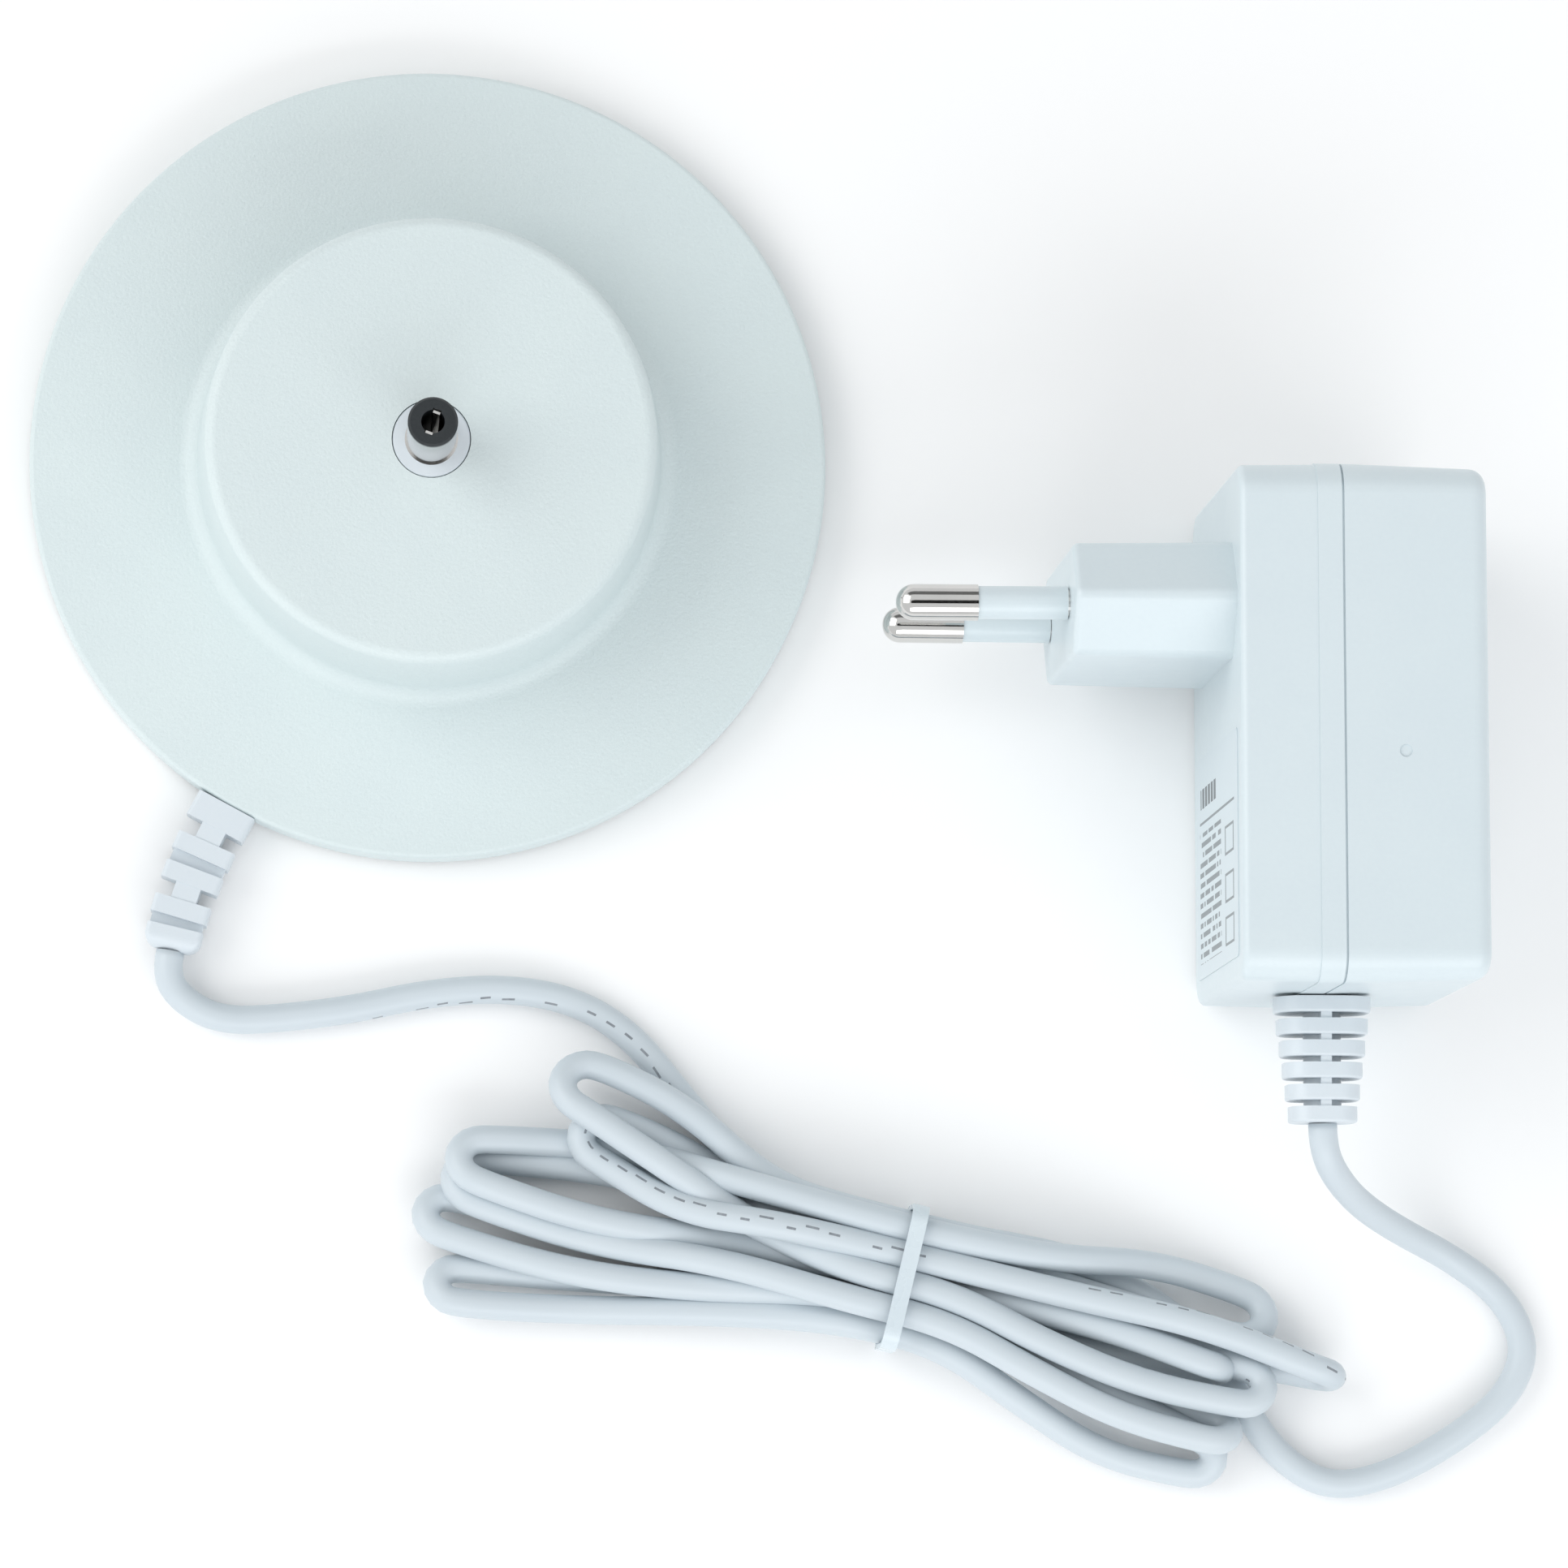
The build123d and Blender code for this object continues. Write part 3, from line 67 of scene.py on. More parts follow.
def add_camera(target, sight, distance, lens):
    """Camera at target + distance times sight: right = Y x sight, up = sight x right."""
    data = bpy.data.cameras.new("camera")
    data.lens = lens
    data.sensor_width = SENSOR_MM
    data.clip_start = 0.01
    right = Vector((0, 1, 0)).cross(sight).normalized()
    up = sight.cross(right)
    turned = Matrix((right, up, sight)).transposed().to_4x4()
    camera = bpy.data.objects.new("camera", data)
    camera.matrix_world = Matrix.Translation(target + distance * sight) @ turned
    bpy.context.collection.objects.link(camera)
    bpy.context.scene.camera = camera
    return camera


camera = add_camera(TARGET, SIGHT, DISTANCE, LENS_MM)
print("camera at", [round(x, 3) for x in camera.location])

# %% [markdown]
# ## The cord's route
# The cord is one piece, from the stand's strain relief to the power supply's. Its two open stretches are
# short lists of places on the table. Between them it goes thirteen times through the band, and turns
# back in six folds at each end. It could be one drawn line, but a rule is shorter and easier to change:
# every strand has a lane in the band, every fold has a tip and a half gap between its legs, and a loop
# writes the places. The folds differ in reach, tilt and height, because nothing ties them there.

# %% The two open stretches, in millimetres
CORD_DIAMETER = 3.2
LIE = CORD_DIAMETER / 2 + 0.05  # height of a cord that lies on the table
FROM_STAND = [
    (-28.61, -55.48, 2.9),
    (-29.23, -58.41, 2.9),
    (-26.7, -61.4, 2.0),
    (-22.5, -63.2, LIE),
    (-16.5, -62.9, LIE),
    (-8.5, -61.9, LIE),
    (0.5, -59.9, LIE),
    (9.3, -59.3, LIE),
    (17.3, -60.8, LIE),
    (23.6, -64.9, LIE),
    (28.6, -71.2, LIE),
]
TO_SUPPLY = [
    (92.2, -105.9, LIE),
    (96.0, -111.6, LIE),
    (101.8, -115.3, LIE),
    (108.6, -114.0, LIE),
    (115.8, -110.2, LIE),
    (122.4, -105.2, LIE),
    (124.9, -99.4, LIE),
    (122.0, -93.5, LIE),
    (115.9, -89.3, 2.7),
    (109.2, -86.4, 6.8),
    (104.0, -83.8, 12.4),
    (100.5, -80.9, 17.6),
    (98.9, -77.9, 20.0),
    (98.9, -75.35, 20.0),
]
print("open stretches:", len(FROM_STAND), "and", len(TO_SUPPLY), "places")

# %% The lanes in the band and the folds, in the hank's own axes
HANK_CENTRE = (53.5, -92.0)
HANK_TURN = math.radians(-13.6)
BAND_HALF = 6.0  # a strand runs straight this far each side of the band
LAYERS = {  # height of each layer, and where its strands lie across the band
    "low": (2.2, (4.65, 1.55, -1.55, -4.65)),
    "mid": (5.0, (6.1, 3.0, -0.1, -3.2, -6.1)),
    "top": (8.1, (5.5, 2.5, -0.6, -3.8)),
}
LANES = {
    f"{layer}{number}": (across, height)
    for layer, (height, places) in LAYERS.items()
    for number, across in enumerate(places, 1)
}
# Each row: the lane it comes from, the tip (along, across, height), half the gap from the first leg to the
# second (across, up), and two places on each leg, a third and two thirds of the way out to the fold.
FOLDS = [
    ("low1", (40.8, 5.2, 3.6), (2.7, -1.0), [(3.8, 2.0), (3.0, 4.6)], [(6.2, 7.2), (8.5, 4.2)]),
    ("top1", (-51.3, 1.6, 5.5), (-2.6, 0.9), [(6.0, 7.8), (7.0, 1.8)], [(-0.4, 3.6), (-2.2, 6.0)]),
    ("mid3", (37.2, -1.4, 4.9), (-0.2, -2.3), [(0.2, 5.6), (0.0, 6.4)], [(-2.2, 2.0), (-2.4, 2.2)]),
    ("low3", (-53.4, -5.2, 2.8), (-2.3, 0.9), [(-2.4, 1.8), (-3.0, 1.7)], [(-6.3, 4.6), (-8.3, 4.9)]),
    ("mid4", (38.9, -11.4, 2.7), (-2.2, -0.8), [(-4.8, 4.9), (-7.2, 4.6)], [(-10.2, 4.2), (-13.7, 2.2)]),
    ("mid5", (-50.3, -12.5, 2.6), (2.1, -0.9), [(-8.6, 3.8), (-11.9, 2.6)], [(-5.6, 1.9), (-8.2, 1.7)]),
    ("low4", (39.7, -8.0, 4.5), (-1.5, 1.7), [(-5.0, 1.8), (-5.8, 1.7)], [(-6.8, 7.9), (-9.3, 7.2)]),
    ("top4", (-51.2, -0.6, 3.2), (2.7, -1.2), [(-3.0, 6.6), (-4.4, 4.2)], [(3.6, 3.6), (4.2, 1.8)]),
    ("mid2", (49.6, 0.9, 4.4), (0.3, 2.3), [(1.6, 4.9), (-0.3, 4.4)], [(2.5, 8.3), (2.9, 8.3)]),
    ("top2", (-38.6, 7.2, 5.0), (2.6, -0.2), [(2.2, 9.4), (1.3, 7.4)], [(4.2, 2.0), (8.2, 2.4)]),
    ("low2", (42.2, -2.6, 5.9), (-2.2, 0.8), [(0.8, 1.9), (-0.8, 2.6)], [(-3.5, 8.2), (-5.2, 7.6)]),
    ("top3", (-42.0, 12.3, 6.7), (2.9, -1.3), [(1.6, 5.3), (5.4, 8.1)], [(6.6, 5.2), (12.8, 5.0)]),
]
ORDER = [fold[0] for fold in FOLDS] + ["mid1"]  # the lanes as the cord takes them
INTO_BAND = [(-24.0, 10.6, LIE), (-17.0, 6.9, 1.8), (-11.0, 5.0, 2.1)]
OUT_OF_BAND = [(12.0, 6.6, 3.6), (18.0, 6.9, 1.8), (25.0, 5.6, LIE), (31.0, 3.4, LIE), (36.5, 0.6, LIE)]
print("strands in the band:", len(LANES), "folds:", len(FOLDS))

# %% From the hank's axes to the table
ROUND_THE_TIP = np.radians([-90, -45, 0, 45, 90])
TIP_REACH = 1.15  # a spline stays inside its control points, so they stand out a little


def on_table(places):
    """Hank places turned by its angle and moved to its centre: x = u cos - v sin, y = u sin + v cos."""
    u, v, z = np.array(places).T
    c, s = math.cos(HANK_TURN), math.sin(HANK_TURN)
    return np.stack([HANK_CENTRE[0] + u * c - v * s, HANK_CENTRE[1] + u * s + v * c, z], axis=1)


def fold_places(lane_in, tip, gap, leg_in, leg_out, lane_out):
    """Out along one leg, half round an ellipse at the tip, and back along the other leg.

    Round the tip: along = root + radius cos(a), across and height = tip + half gap times sin(a).
    """
    side = math.copysign(1.0, tip[0])
    radius = math.hypot(*gap)
    band, root = side * BAND_HALF, tip[0] - side * radius
    thirds = [band + (root - band) * share for share in (1 / 3, 2 / 3)]
    along = root + side * TIP_REACH * radius * np.cos(ROUND_THE_TIP)
    swing = np.sin(ROUND_THE_TIP)
    arc = np.stack([along, tip[1] + gap[0] * swing, tip[2] + gap[1] * swing], axis=1)
    going = [(band, *LANES[lane_in])] + [(u, *place) for u, place in zip(thirds, leg_in)]
    coming = [(band, *LANES[lane_out])] + [(u, *place) for u, place in zip(thirds, leg_out)]
    return going + [tuple(place) for place in arc] + coming[::-1]


hank = INTO_BAND + [(-BAND_HALF, *LANES[ORDER[0]])]
for fold, lane_out in zip(FOLDS, ORDER[1:]):
    hank += fold_places(*fold, lane_out)
hank += [(BAND_HALF, *LANES[ORDER[-1]])] + OUT_OF_BAND
route = np.concatenate([np.array(FROM_STAND), on_table(hank), np.array(TO_SUPPLY)]) * MM
print("route places:", len(route))

# %% [markdown]
# ## The cord's surface
# A curve object with a bevel would draw the tube, but its texture coordinates run from 0 to 1 over more than
# a metre, whatever the length. A numpy tube round the same smooth line carries real metres along the cord
# and turns round it, so that printed marks have their real size. The line itself is a NURBS curve of order
# 3 through the route, which bends smoothly and stays on the table.

# %% The smooth line
RING_STEP = 0.8 * MM
CURVE_RESOLUTION = 10
SAME_PLACE = 1e-9


def smooth_line(points, step):
    """Points a step apart on the NURBS curve that has these control points."""
    curve = bpy.data.curves.new("route", "CURVE")
    curve.dimensions = "3D"
    curve.resolution_u = CURVE_RESOLUTION
    spline = curve.splines.new("NURBS")
    spline.points.add(len(points) - 1)
    spline.points.foreach_set("co", np.column_stack([points, np.ones(len(points))]).ravel())
    spline.order_u = 3
    spline.use_endpoint_u = True
    holder = bpy.data.objects.new("route", curve)
    bpy.context.collection.objects.link(holder)
    mesh = bpy.data.meshes.new_from_object(holder)
    dense = np.empty(len(mesh.vertices) * 3)
    mesh.vertices.foreach_get("co", dense)
    dense = dense.reshape(-1, 3)
    bpy.data.meshes.remove(mesh)
    bpy.data.objects.remove(holder)
    bpy.data.curves.remove(curve)
    along = np.concatenate([[0.0], np.cumsum(np.linalg.norm(np.diff(dense, axis=0), axis=1))])
    keep = np.concatenate([[True], np.diff(along) > SAME_PLACE])
    even = np.linspace(0.0, along[-1], int(along[-1] / step) + 1)
    return np.stack([np.interp(even, along[keep], dense[keep, k]) for k in range(3)], axis=1), even


line, distance = smooth_line(route, RING_STEP)

# %% Axes across the line
FULL_TURN = 2 * math.pi


def ring_axes(points):
    """Two axes across the line at each point, carried along it without twist."""
    tangents = np.gradient(points, axis=0)
    tangents /= np.linalg.norm(tangents, axis=1, keepdims=True)
    first = np.empty_like(points)
    axis = np.cross(np.cross(tangents[0], (0.0, 0.0, 1.0)), tangents[0])
    for k, tangent in enumerate(tangents):
        axis = axis - tangent * (axis @ tangent)
        axis = axis / np.linalg.norm(axis)
        first[k] = axis
    return first, np.cross(tangents, first)


def facing_up(first, second, spread):
    """Angle round each ring that points up, made smooth over spread rings, so that print stays in sight."""
    angle = np.unwrap(np.arctan2(second[:, 2], first[:, 2]))
    weights = np.hanning(2 * spread + 1)
    padded = np.pad(angle, spread, mode="edge")
    return np.convolve(padded, weights / weights.sum(), mode="valid")


print("axes carried along", len(line), "rings")

# %% [markdown]
# The print lies on one line along the cord, and the cord turns as it is folded, so the print shows on a few
# strands only. The turn is set where each strand passes the band, and it changes evenly between strands.

# %% Where the printed line faces up
HIDDEN = 0.5  # turns from the top
PRINT_TURNS = {"top2": 0.0, "low2": 0.12, "top3": 0.30, "low4": 0.12, "top1": 0.36}
PRINT_FROM_STAND = [(0.0, 0.45), (0.045, 0.08), (0.062, 0.02), (0.085, 0.22)]  # metres along, turns


def printed_twist(points, along):
    """Turns of the printed line away from the top at each ring."""
    gates = on_table([(0.0, *LANES[lane]) for lane in ORDER]) * MM
    passes = [int(np.linalg.norm(points - gate, axis=1).argmin()) for gate in gates]
    knots = [(along[k], PRINT_TURNS.get(lane, HIDDEN)) for k, lane in zip(passes, ORDER)]
    metres, turns = zip(*PRINT_FROM_STAND, *knots, (along[-1], HIDDEN))
    return np.interp(along, metres, turns)


twist = printed_twist(line, distance)
print("print faces up on", round(float((abs(twist) < 0.2).mean()), 2), "of the cord")

# %% A round tube with real metres as its texture coordinates
CORD_COLUMNS = 20
TOP_SPREAD = 22  # rings over which the top is made smooth


def tube(name, points, along, radius, columns, twist):
    """Surface point = line(s) + radius (cos a first(s) + sin a second(s)).

    u is s, and v counts turns round the cord from a line that lies twist(s) turns away from the top.
    """
    first, second = ring_axes(points)
    a = np.linspace(0.0, FULL_TURN, columns, endpoint=False)
    ring = np.cos(a)[None, :, None] * first[:, None] + np.sin(a)[None, :, None] * second[:, None]
    verts = (points[:, None] + radius * ring).reshape(-1, 3)
    i, j = np.meshgrid(np.arange(len(points) - 1), np.arange(columns), indexing="ij")
    here, beside = i * columns + j, i * columns + (j + 1) % columns
    quads = np.stack([here, beside, beside + columns, here + columns], axis=-1)
    end_caps = [list(range(columns))[::-1], list(range(len(verts) - columns, len(verts)))]
    mesh = bpy.data.meshes.new(name)
    mesh.from_pydata(verts.tolist(), [], quads.reshape(-1, 4).tolist() + end_caps)
    top = facing_up(first, second, TOP_SPREAD) / FULL_TURN + twist
    near, far = j / columns - top[i], j / columns - top[i + 1]
    u = np.stack([along[i], along[i], along[i + 1], along[i + 1]], axis=-1)
    v = np.stack([near, near + 1 / columns, far + 1 / columns, far], axis=-1)
    uv = np.concatenate([np.stack([u, v], axis=-1).reshape(-1, 2), np.zeros((2 * columns, 2))])
    mesh.uv_layers.new(name="metres").data.foreach_set("uv", uv.ravel())
    mesh.polygons.foreach_set("use_smooth", np.ones(len(mesh.polygons), dtype=bool))
    mesh.update()
    piece = bpy.data.objects.new(name, mesh)
    bpy.context.collection.objects.link(piece)
    return piece


cord = tube("cord", line, distance, CORD_DIAMETER / 2 * MM, CORD_COLUMNS, twist)
print("cord faces:", len(cord.data.polygons))

# %% The cord stands for its three plain CAD stretches
ON_THE_CORD = [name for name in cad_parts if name.startswith("adapter_")]
ON_THE_CORD += ["contact_pins", "pin_sleeves", "rating_label", "pin_leads", "output_leads", "circuit_board"]
ON_THE_CORD += ["transformer_core", "transformer_bobbin", "transformer_winding", "input_capacitors"]
ON_THE_CORD += ["output_capacitor", "fuse_resistor", "bridge_rectifier", "controller_chip", "optocoupler"]
ON_THE_CORD += ["output_diode", "y_capacitor", "hank_tie"]
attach(cord, "root")
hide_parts("cord_base_run", "cord_hank", "cord_adapter_run")
print("pieces on the cord:", len(ON_THE_CORD))

# %% [markdown]
# ## Shader sums written as Python
# Node maths is hard to read as a list of links. A small class wraps one output socket, and its operators add
# Math nodes, so that a mask reads as a formula. Everything else goes through one method that takes a node's
# type, its settings and its sockets.


# %% Sockets in sums
class Wire:
    """One output socket. Sums and products with it add Math nodes."""

    def __init__(self, finish, socket):
        self.finish = finish
        self.socket = socket

    def maths(self, operation, *values):
        return self.finish.node("ShaderNodeMath", {"operation": operation}, dict(enumerate(values)))

    def __add__(self, other):
        return self.maths("ADD", self, other)

    def __mul__(self, other):
        return self.maths("MULTIPLY", self, other)

    def __sub__(self, other):
        return self.maths("SUBTRACT", self, other)

    def __rsub__(self, other):
        return self.maths("SUBTRACT", other, self)

    def __truediv__(self, other):
        return self.maths("DIVIDE", self, other)

    def __gt__(self, edge):
        return self.maths("GREATER_THAN", self, edge)

    def __lt__(self, edge):
        return self.maths("LESS_THAN", self, edge)

    def __abs__(self):
        return self.maths("ABSOLUTE", self)

    __radd__ = __add__
    __rmul__ = __mul__

    def fraction(self):
        return self.maths("FRACT", self)

    def floor(self):
        return self.maths("FLOOR", self)


# %% A finish under construction
class Finish:
    """One material. Constants go to the shader's own sockets, and what varies is plugged in."""

    def __init__(self, name, **constants):
        self.material = bpy.data.materials.new(name)
        self.material.use_nodes = True
        self.tree = self.material.node_tree
        self.shader = self.tree.nodes["Principled BSDF"]
        self.surface(**constants)

    def node(self, kind, settings=None, sockets=None, output=0):
        """A node of this type, its settings first and then its sockets, as the Wire of one output."""
        made = self.tree.nodes.new(kind)
        for key, value in (settings or {}).items():
            setattr(made, key, value)
        for key, value in (sockets or {}).items():
            self.plug(made.inputs[key], value)
        return Wire(self, made.outputs[output])

    def plug(self, socket, value):
        """Link a Wire to the socket, or give it a value."""
        if isinstance(value, Wire):
            self.tree.links.new(value.socket, socket)
        elif socket.type == "RGBA" and len(value) == 3:
            socket.default_value = (*value, 1.0)
        else:
            socket.default_value = value

    def surface(self, **sockets):
        """Set or feed the shader's sockets: base_color means Base Color."""
        for key, value in sockets.items():
            socket = key.replace("_", " ").title().replace("Ior", "IOR")
            self.plug(self.shader.inputs[socket], value)

    def place(self, name="Object"):
        """Coordinates of this name."""
        return self.node("ShaderNodeTexCoord", output=name)

    def axes(self, vector):
        """The three parts of a vector."""
        split = self.node("ShaderNodeSeparateXYZ", sockets={"Vector": vector})
        return [Wire(self, socket) for socket in split.socket.node.outputs]

    def noise(self, size, detail=2.0, stretch=(1.0, 1.0, 1.0)):
        """Noise from 0 to 1 whose spots are about size metres across, longer where stretch is below 1."""
        vector = self.place()
        if stretch != (1.0, 1.0, 1.0):
            vector = self.node("ShaderNodeMapping", sockets={"Vector": vector, "Scale": stretch})
        sockets = {"Vector": vector, "Scale": 1.0 / size, "Detail": detail}
        return self.node("ShaderNodeTexNoise", sockets=sockets)

    def mix(self, factor, first, second):
        """Colour from first to second."""
        return self.node("ShaderNodeMix", {"data_type": "RGBA"}, {0: factor, 6: first, 7: second}, output=2)

    def bump(self, height, depth):
        """Normal of a surface that stands out by height times depth metres."""
        return self.node("ShaderNodeBump", sockets={"Height": height, "Distance": depth, "Strength": 1.0})


def grey(value):
    """Colour with this value in all three parts."""
    return (value, value, value)


print("shader kit ready")

# %% [markdown]
# ## Moulded plastics
# Every white part here is moulded, but each has its own skin. The stand has a fine spark-eroded grain that
# spreads highlights. The power supply is smoother, with a slow waviness over its flats, and shines a little.
# One function makes them all: slow clouds shift the colour a little, fine grain lifts the surface, and a
# middle-sized noise changes the roughness, as handling and the mould's polish do.


# %% One recipe for moulded parts
def moulded(name, colour, shade, rough, grain, depth, wave=0.0, **constants):
    """Moulded plastic from colour to shade. Grain size, its depth and the wave's height are in mm."""
    finish = Finish(name, **constants)
    clouds = finish.noise(9.0 * MM, 3.0)
    fine = finish.noise(grain * MM, 2.0)
    patches = finish.noise(2.3 * MM, 4.0)
    height = fine
    if wave:
        height = fine + finish.noise(12.0 * MM, 1.0) * (wave / depth)
    finish.surface(
        base_color=finish.mix((clouds - 0.35) * 1.8 + (fine - 0.4) * 1.1, colour, shade),
        roughness=rough + (patches - 0.5) * 0.12,
        normal=finish.bump(height, depth * MM),
    )
    return finish.material


PLASTICS = {  # colour, shade, roughness, grain in mm, depth in mm
    "tie_plastic": ((0.66, 0.74, 0.78), (0.62, 0.70, 0.75), 0.28, 0.6, 0.01),
    "cord_pvc": ((0.655, 0.710, 0.750), (0.635, 0.695, 0.740), 0.38, 0.45, 0.008),
    "black_insulator": ((0.010, 0.014, 0.017), (0.018, 0.023, 0.026), 0.30, 0.35, 0.02),
    "foot_rubber": ((0.30, 0.31, 0.32), (0.25, 0.26, 0.27), 0.72, 0.25, 0.02),
    "lead_red": ((0.50, 0.03, 0.03), (0.42, 0.02, 0.02), 0.40, 0.5, 0.006),
    "lead_black": ((0.02, 0.02, 0.02), (0.03, 0.03, 0.03), 0.40, 0.5, 0.006),
    "winding_tape": ((0.80, 0.58, 0.06), (0.72, 0.50, 0.05), 0.30, 1.2, 0.02),
    "capacitor_sleeve": ((0.03, 0.05, 0.13), (0.04, 0.06, 0.15), 0.25, 1.5, 0.01),
    "resistor_body": ((0.22, 0.42, 0.30), (0.18, 0.36, 0.26), 0.35, 0.3, 0.02),
    "chip_epoxy": ((0.025, 0.025, 0.027), (0.035, 0.035, 0.037), 0.60, 0.15, 0.01),
    "blue_ceramic": ((0.03, 0.13, 0.45), (0.02, 0.10, 0.38), 0.22, 0.8, 0.02),
    "ferrite": ((0.045, 0.045, 0.05), (0.06, 0.06, 0.065), 0.55, 0.2, 0.02),
}
STAND = ((0.655, 0.735, 0.740), (0.635, 0.715, 0.725), 0.44, 0.36, 0.07)
SUPPLY = ((0.655, 0.735, 0.765), (0.635, 0.715, 0.750), 0.33, 0.5, 0.014)
finishes = {name: moulded(name, *values) for name, values in PLASTICS.items()}
finishes["stand_plastic"] = moulded("stand_plastic", *STAND, specular_ior_level=0.45)
finishes["adapter_plastic"] = moulded("adapter_plastic", *SUPPLY, wave=0.02)
print("moulded finishes:", len(finishes))

# %% [markdown]
# ## Metals
# The mains pins and the barrel are nickel plated. A turned part shows very fine rings across its length, and
# plating softens them, so the highlight is a soft band and not a mirror. Noise squeezed along one axis gives
# those rings. Screws and the ballast plate are duller zinc.


# %% Plated and brushed metal
def plated(name, colour, stain, rough, stretch):
    """Plated metal: noise squeezed by stretch makes the rings or scratches of the part under the plate."""
    finish = Finish(name, metallic=1.0)
    marks = finish.noise(0.5 * MM, 3.0, stretch)
    stains = finish.noise(3.0 * MM, 4.0)
    finish.surface(
        base_color=finish.mix(stains, colour, stain),
        roughness=rough + marks * 0.06,
        normal=finish.bump(marks, 0.002 * MM),
    )
    return finish.material


ALL_WAYS = (1.0, 1.0, 1.0)
RINGS_ALONG_X = (4.0, 0.6, 0.6)
RINGS_ALONG_Z = (0.6, 0.6, 4.0)
SCRATCHES = (4.0, 0.5, 1.0)
METALS = {  # colour, stain, roughness, stretch of the marks
    "plated_pin": ((0.70, 0.69, 0.67), (0.64, 0.63, 0.61), 0.07, RINGS_ALONG_X),
    "plated_contact": ((0.70, 0.69, 0.67), (0.64, 0.63, 0.61), 0.12, RINGS_ALONG_Z),
    "screw_steel": ((0.52, 0.53, 0.55), (0.44, 0.45, 0.48), 0.30, ALL_WAYS),
    "ballast_steel": ((0.40, 0.41, 0.42), (0.34, 0.35, 0.36), 0.38, SCRATCHES),
}
finishes.update({name: plated(name, *values) for name, values in METALS.items()})
print("finishes so far:", len(finishes))

# %% [markdown]
# ## The cord's skin
# The cord is smooth soft plastic with a satin shine. The real one carries small grey print, which stands for
# nothing here, so plain short dashes take its place. They are drawn from the tube's own coordinates: whole
# dashes come from the fraction of the distance along the cord, and groups of dashes from a slower fraction.

# %% Soft cord with plain dashes
DASH_PITCH = 2.5 * MM
DASH_HALF_WIDTH = 0.14 * MM
DASH_SCATTER = 0.9 * MM
GROUP_PITCH = 62.0 * MM
GROUP_START = 0.6
GROUP_SHARE = 0.72
CORD_ROUND = math.pi * CORD_DIAMETER * MM


def soft_cord():
    """Satin plastic with ink where the fraction of s / pitch is under a share and v is near the line."""
    finish = Finish("cord_skin", specular_ior_level=0.45)
    s, turn, _ = finish.axes(finish.place("UV"))
    beat = s / DASH_PITCH
    chance = finish.node("ShaderNodeTexWhiteNoise", {"noise_dimensions": "1D"}, {"W": beat.floor()})
    off_line = (turn + 0.5).fraction() * CORD_ROUND - 0.5 * CORD_ROUND
    near_line = abs(off_line - (chance - 0.5) * DASH_SCATTER) < DASH_HALF_WIDTH
    dash = (beat.fraction() < 0.35 + chance * 0.3) * near_line
    in_group = (s / GROUP_PITCH + GROUP_START).fraction() < GROUP_SHARE
    ink = dash * in_group * (chance > 0.12)
    fine = finish.noise(0.5 * MM, 2.0)
    skin = finish.mix(finish.noise(7.0 * MM, 2.0), (0.595, 0.655, 0.695), (0.570, 0.635, 0.680))
    finish.surface(
        base_color=finish.mix(ink * (0.5 + fine * 0.4), skin, (0.10, 0.11, 0.13)),
        roughness=0.40 + (finish.noise(4.0 * MM, 3.0) - 0.5) * 0.14,
        normal=finish.bump(fine + finish.noise(5.0 * MM, 1.0) * 2.0, 0.006 * MM),
    )
    return finish.material


cord.data.materials.append(soft_cord())
print("cord print: dashes every", DASH_PITCH / MM, "mm")

# %% [markdown]
# ## Label and circuit board
# The rating label on the pin side is a printed film. Its words and marks stay out, so rows of grey bars and
# three empty boxes stand for them. The label lies in a plane across X, so Y and Z place the bars. The board
# inside is green lacquer over copper tracks, which show as slightly raised lighter bands.


# %% Printed film
def printed_film():
    """Rows of short bars on the left and three empty boxes on the right, under a line and a broken bar."""
    finish = Finish("label_film", specular_ior_level=0.4)
    low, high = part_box("rating_label")
    _, y, z = finish.axes(finish.place())
    up = (y - low[1]) / (high[1] - low[1])
    across = (z - low[2]) / (high[2] - low[2])

    def block(mid_across, mid_up, half_across, half_up):
        return (abs(across - mid_across) < half_across) * (abs(up - mid_up) < half_up)

    rows, cells = up * 22.0, across * 34.0
    key = finish.node("ShaderNodeCombineXYZ", sockets={"X": rows.floor(), "Y": cells.floor()})
    chance = finish.node("ShaderNodeTexWhiteNoise", {"noise_dimensions": "2D"}, {"Vector": key})
    words = (rows.fraction() < 0.5) * (chance > 0.25) * block(0.34, 0.36, 0.26, 0.295)
    title = block(0.30, 0.81, 0.20, 0.045) * ((across * 14.0).fraction() < 0.7)
    ink = words + title * 1.2 + block(0.5, 0.70, 0.42, 0.006)
    for mid_up in (0.14, 0.33, 0.54):
        ink = ink + block(0.80, mid_up, 0.105, 0.065) - block(0.80, mid_up, 0.085, 0.053)
    film = finish.mix(finish.noise(5.0 * MM), (0.64, 0.72, 0.755), (0.62, 0.70, 0.74))
    finish.surface(
        base_color=finish.mix(ink * 0.75, film, (0.10, 0.11, 0.12)),
        roughness=0.32 + ink * 0.12,
        normal=finish.bump(finish.noise(1.5 * MM) + ink * 0.2, 0.01 * MM),
    )
    return finish.material


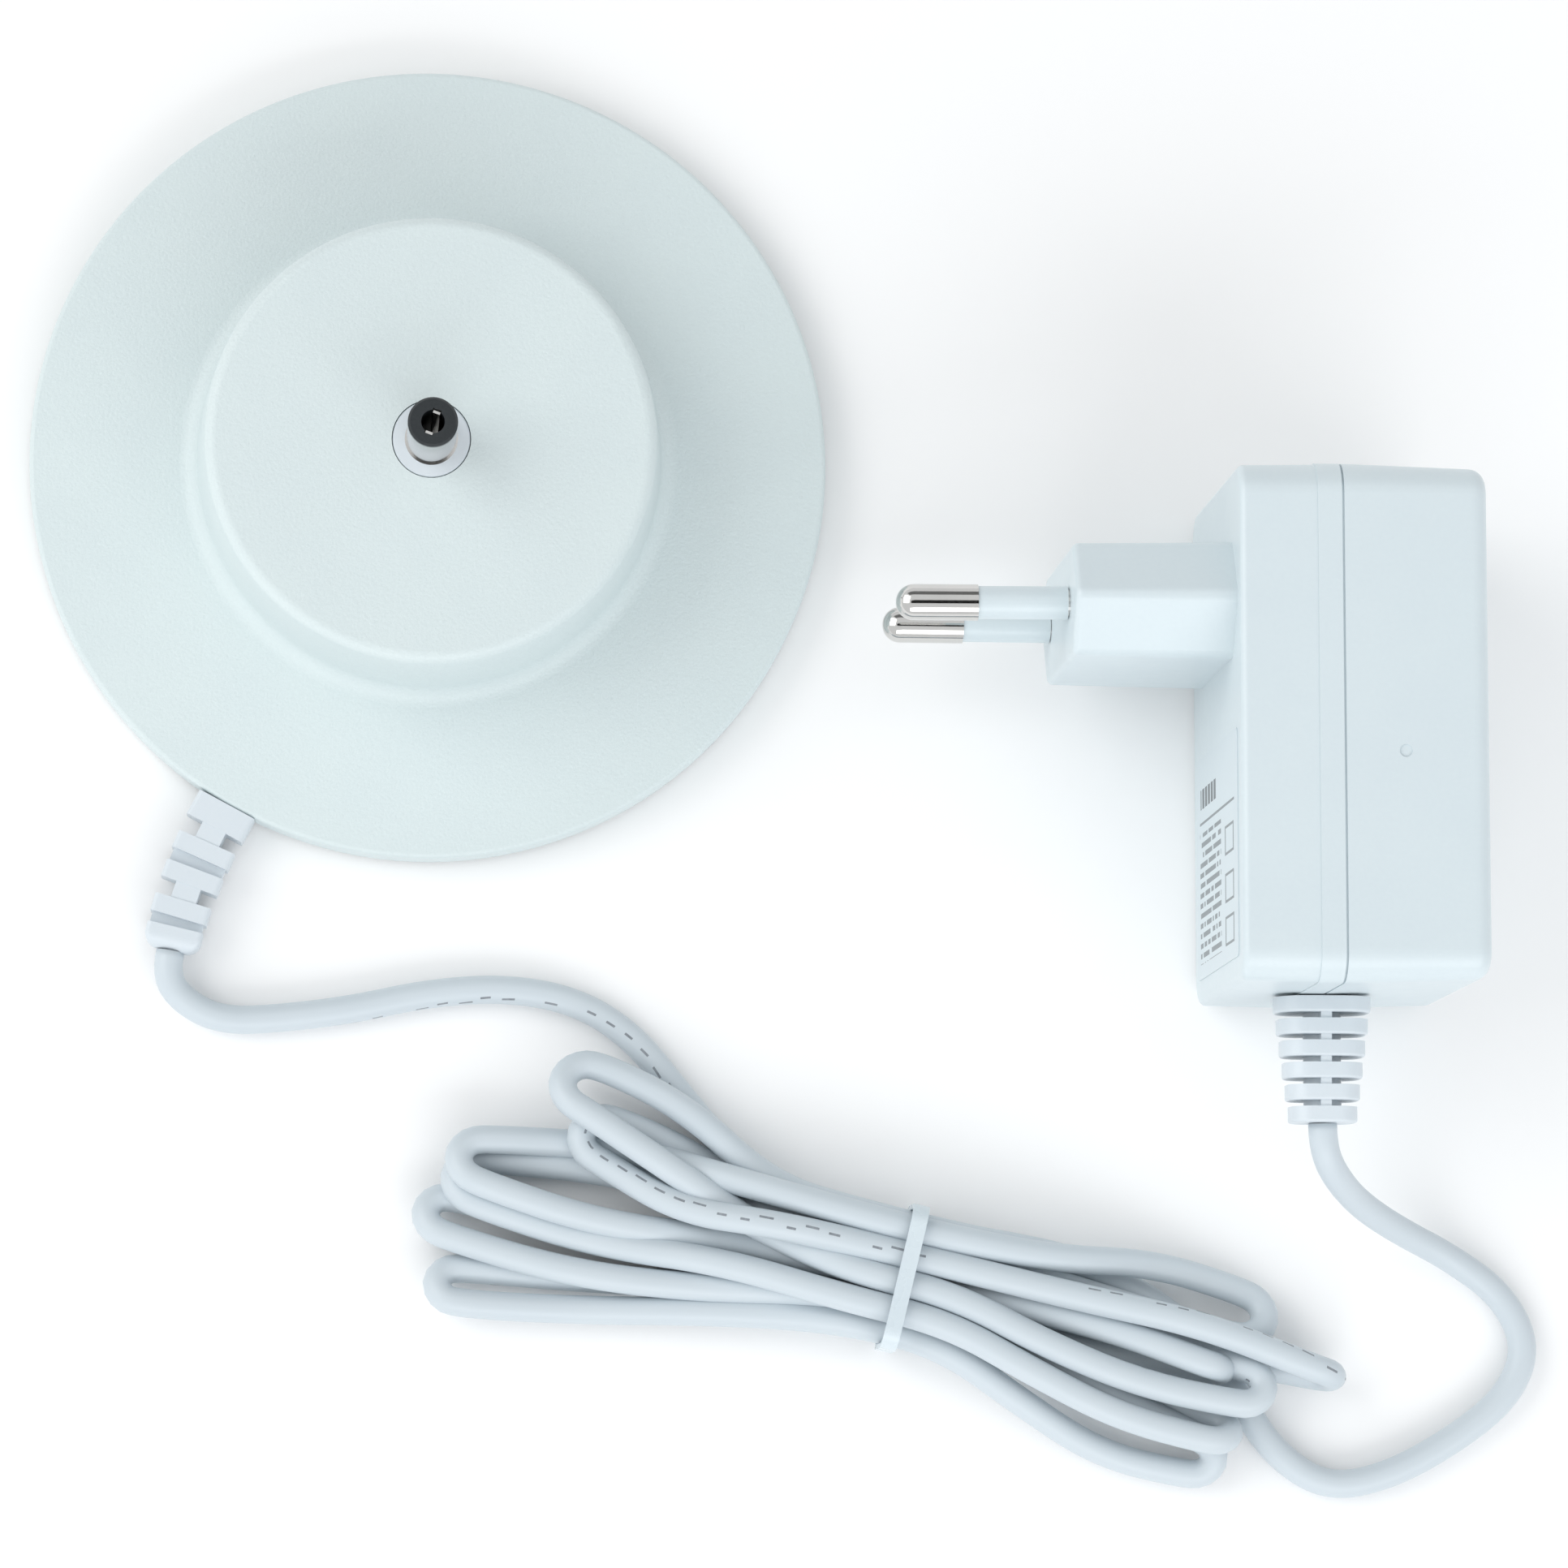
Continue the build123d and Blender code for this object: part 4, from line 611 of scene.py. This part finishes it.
# %% Circuit board
def lacquered_board():
    """Green lacquer; tracks are bands of a wave that a slow noise bends."""
    finish = Finish("board_laminate", specular_ior_level=0.5)
    wave = finish.node(
        "ShaderNodeTexWave",
        {"bands_direction": "Z"},
        {"Vector": finish.place(), "Scale": 60.0, "Distortion": 3.0, "Detail": 1.0},
        output="Fac",
    )
    tracks = wave > 0.6
    finish.surface(
        base_color=finish.mix(tracks, (0.02, 0.13, 0.05), (0.04, 0.22, 0.09)),
        roughness=0.30 + finish.noise(2.0 * MM) * 0.1,
        normal=finish.bump(tracks, 0.04 * MM),
    )
    return finish.material


finishes["label_film"] = printed_film()
finishes["board_laminate"] = lacquered_board()
print("finishes:", len(finishes))

# %% Each node's slots get their finish
for name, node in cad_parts.items():
    for slot in node.material_slots:
        base = slot.material.name.split(".")[0]
        if base in finishes:
            slot.material = finishes[base]
        elif slot.material not in finishes.values():
            raise ValueError(f"{name} has a slot {base} without a finish")
print("slots dressed on", len(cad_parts), "nodes")

# %% [markdown]
# ## Floor and light
# The stand lies on a plain white table. Two large soft lamps, one at the upper left and one at the lower
# right of the picture, leave a soft shade on both sides of the boss, and a white surround fills the rest.
# The plain transform keeps the whites as they are.


# %% Matte sheets round the object
def add_sheet(name, middle, across, up, tone, lighter, cloud):
    """Flat rectangle round middle, with half sides across and up, clouded from tone to lighter."""
    middle, across, up = Vector(middle), Vector(across), Vector(up)
    corners = [middle - across - up, middle + across - up, middle + across + up, middle - across + up]
    mesh = bpy.data.meshes.new(name)
    mesh.from_pydata(corners, [], [(0, 1, 2, 3)])
    sheet = bpy.data.objects.new(name, mesh)
    bpy.context.collection.objects.link(sheet)
    finish = Finish(name, specular_ior_level=0.1)
    clouds = finish.noise(cloud, 2.0)
    finish.surface(base_color=finish.mix(clouds, grey(tone), grey(lighter)), roughness=0.9 + clouds * 0.05)
    mesh.materials.append(finish.material)


FLOOR_HEIGHT = -0.1 * MM  # just under the feet, so that they don't lie in its plane
add_sheet("floor", (0, 0, FLOOR_HEIGHT), (2, 0, 0), (0, 2, 0), 0.95, 0.97, 0.3)
print("floor at", FLOOR_HEIGHT, "m")


# %% Light
def add_lamp(name, place, size, power, colour):
    """Rectangular lamp, size wide and high, that faces the middle of the object."""
    data = bpy.data.lights.new(name, "AREA")
    data.shape = "RECTANGLE"
    data.size, data.size_y = size
    data.energy = power
    data.color = colour
    lamp = bpy.data.objects.new(name, data)
    lamp.location = place
    lamp.rotation_euler = (TARGET - Vector(place)).to_track_quat("-Z", "Y").to_euler()
    bpy.context.collection.objects.link(lamp)


add_lamp("upper_left", (-0.90, 0.25, 0.75), (1.0, 1.0), 5.8, (1.0, 1.0, 0.985))
add_lamp("lower_right", (0.25, -0.85, 0.62), (1.4, 0.5), 4.4, (0.97, 0.985, 1.0))
world = bpy.data.worlds.new("surround")
world.use_nodes = True
world.node_tree.nodes["Background"].inputs["Color"].default_value = (0.97, 0.985, 1.0, 1.0)
world.node_tree.nodes["Background"].inputs["Strength"].default_value = 0.84
bpy.context.scene.world = world
bpy.context.scene.view_settings.view_transform = "Standard"
print("two lamps and a surround")

# %% [markdown]
# Metal shows only what it reflects, and a white surround makes it as flat as the plastic. A studio puts cards
# beside and above it, out of the picture. A dark one over the camera draws the thin black line along the
# middle of each round pin, and a grey one to the north makes the pin's upper half duller than the lower half,
# which shows the lamp.

# %% Cards
add_sheet("card_over_camera", (0.0, -0.14, 0.90), (0.30, 0, 0), (0, 0.11, 0), 0.01, 0.011, 0.05)
add_sheet("card_north", (0.05, 0.50, 0.45), (0.40, 0, 0), (0, 0.03, 0.20), 0.15, 0.165, 0.05)
print("two cards")
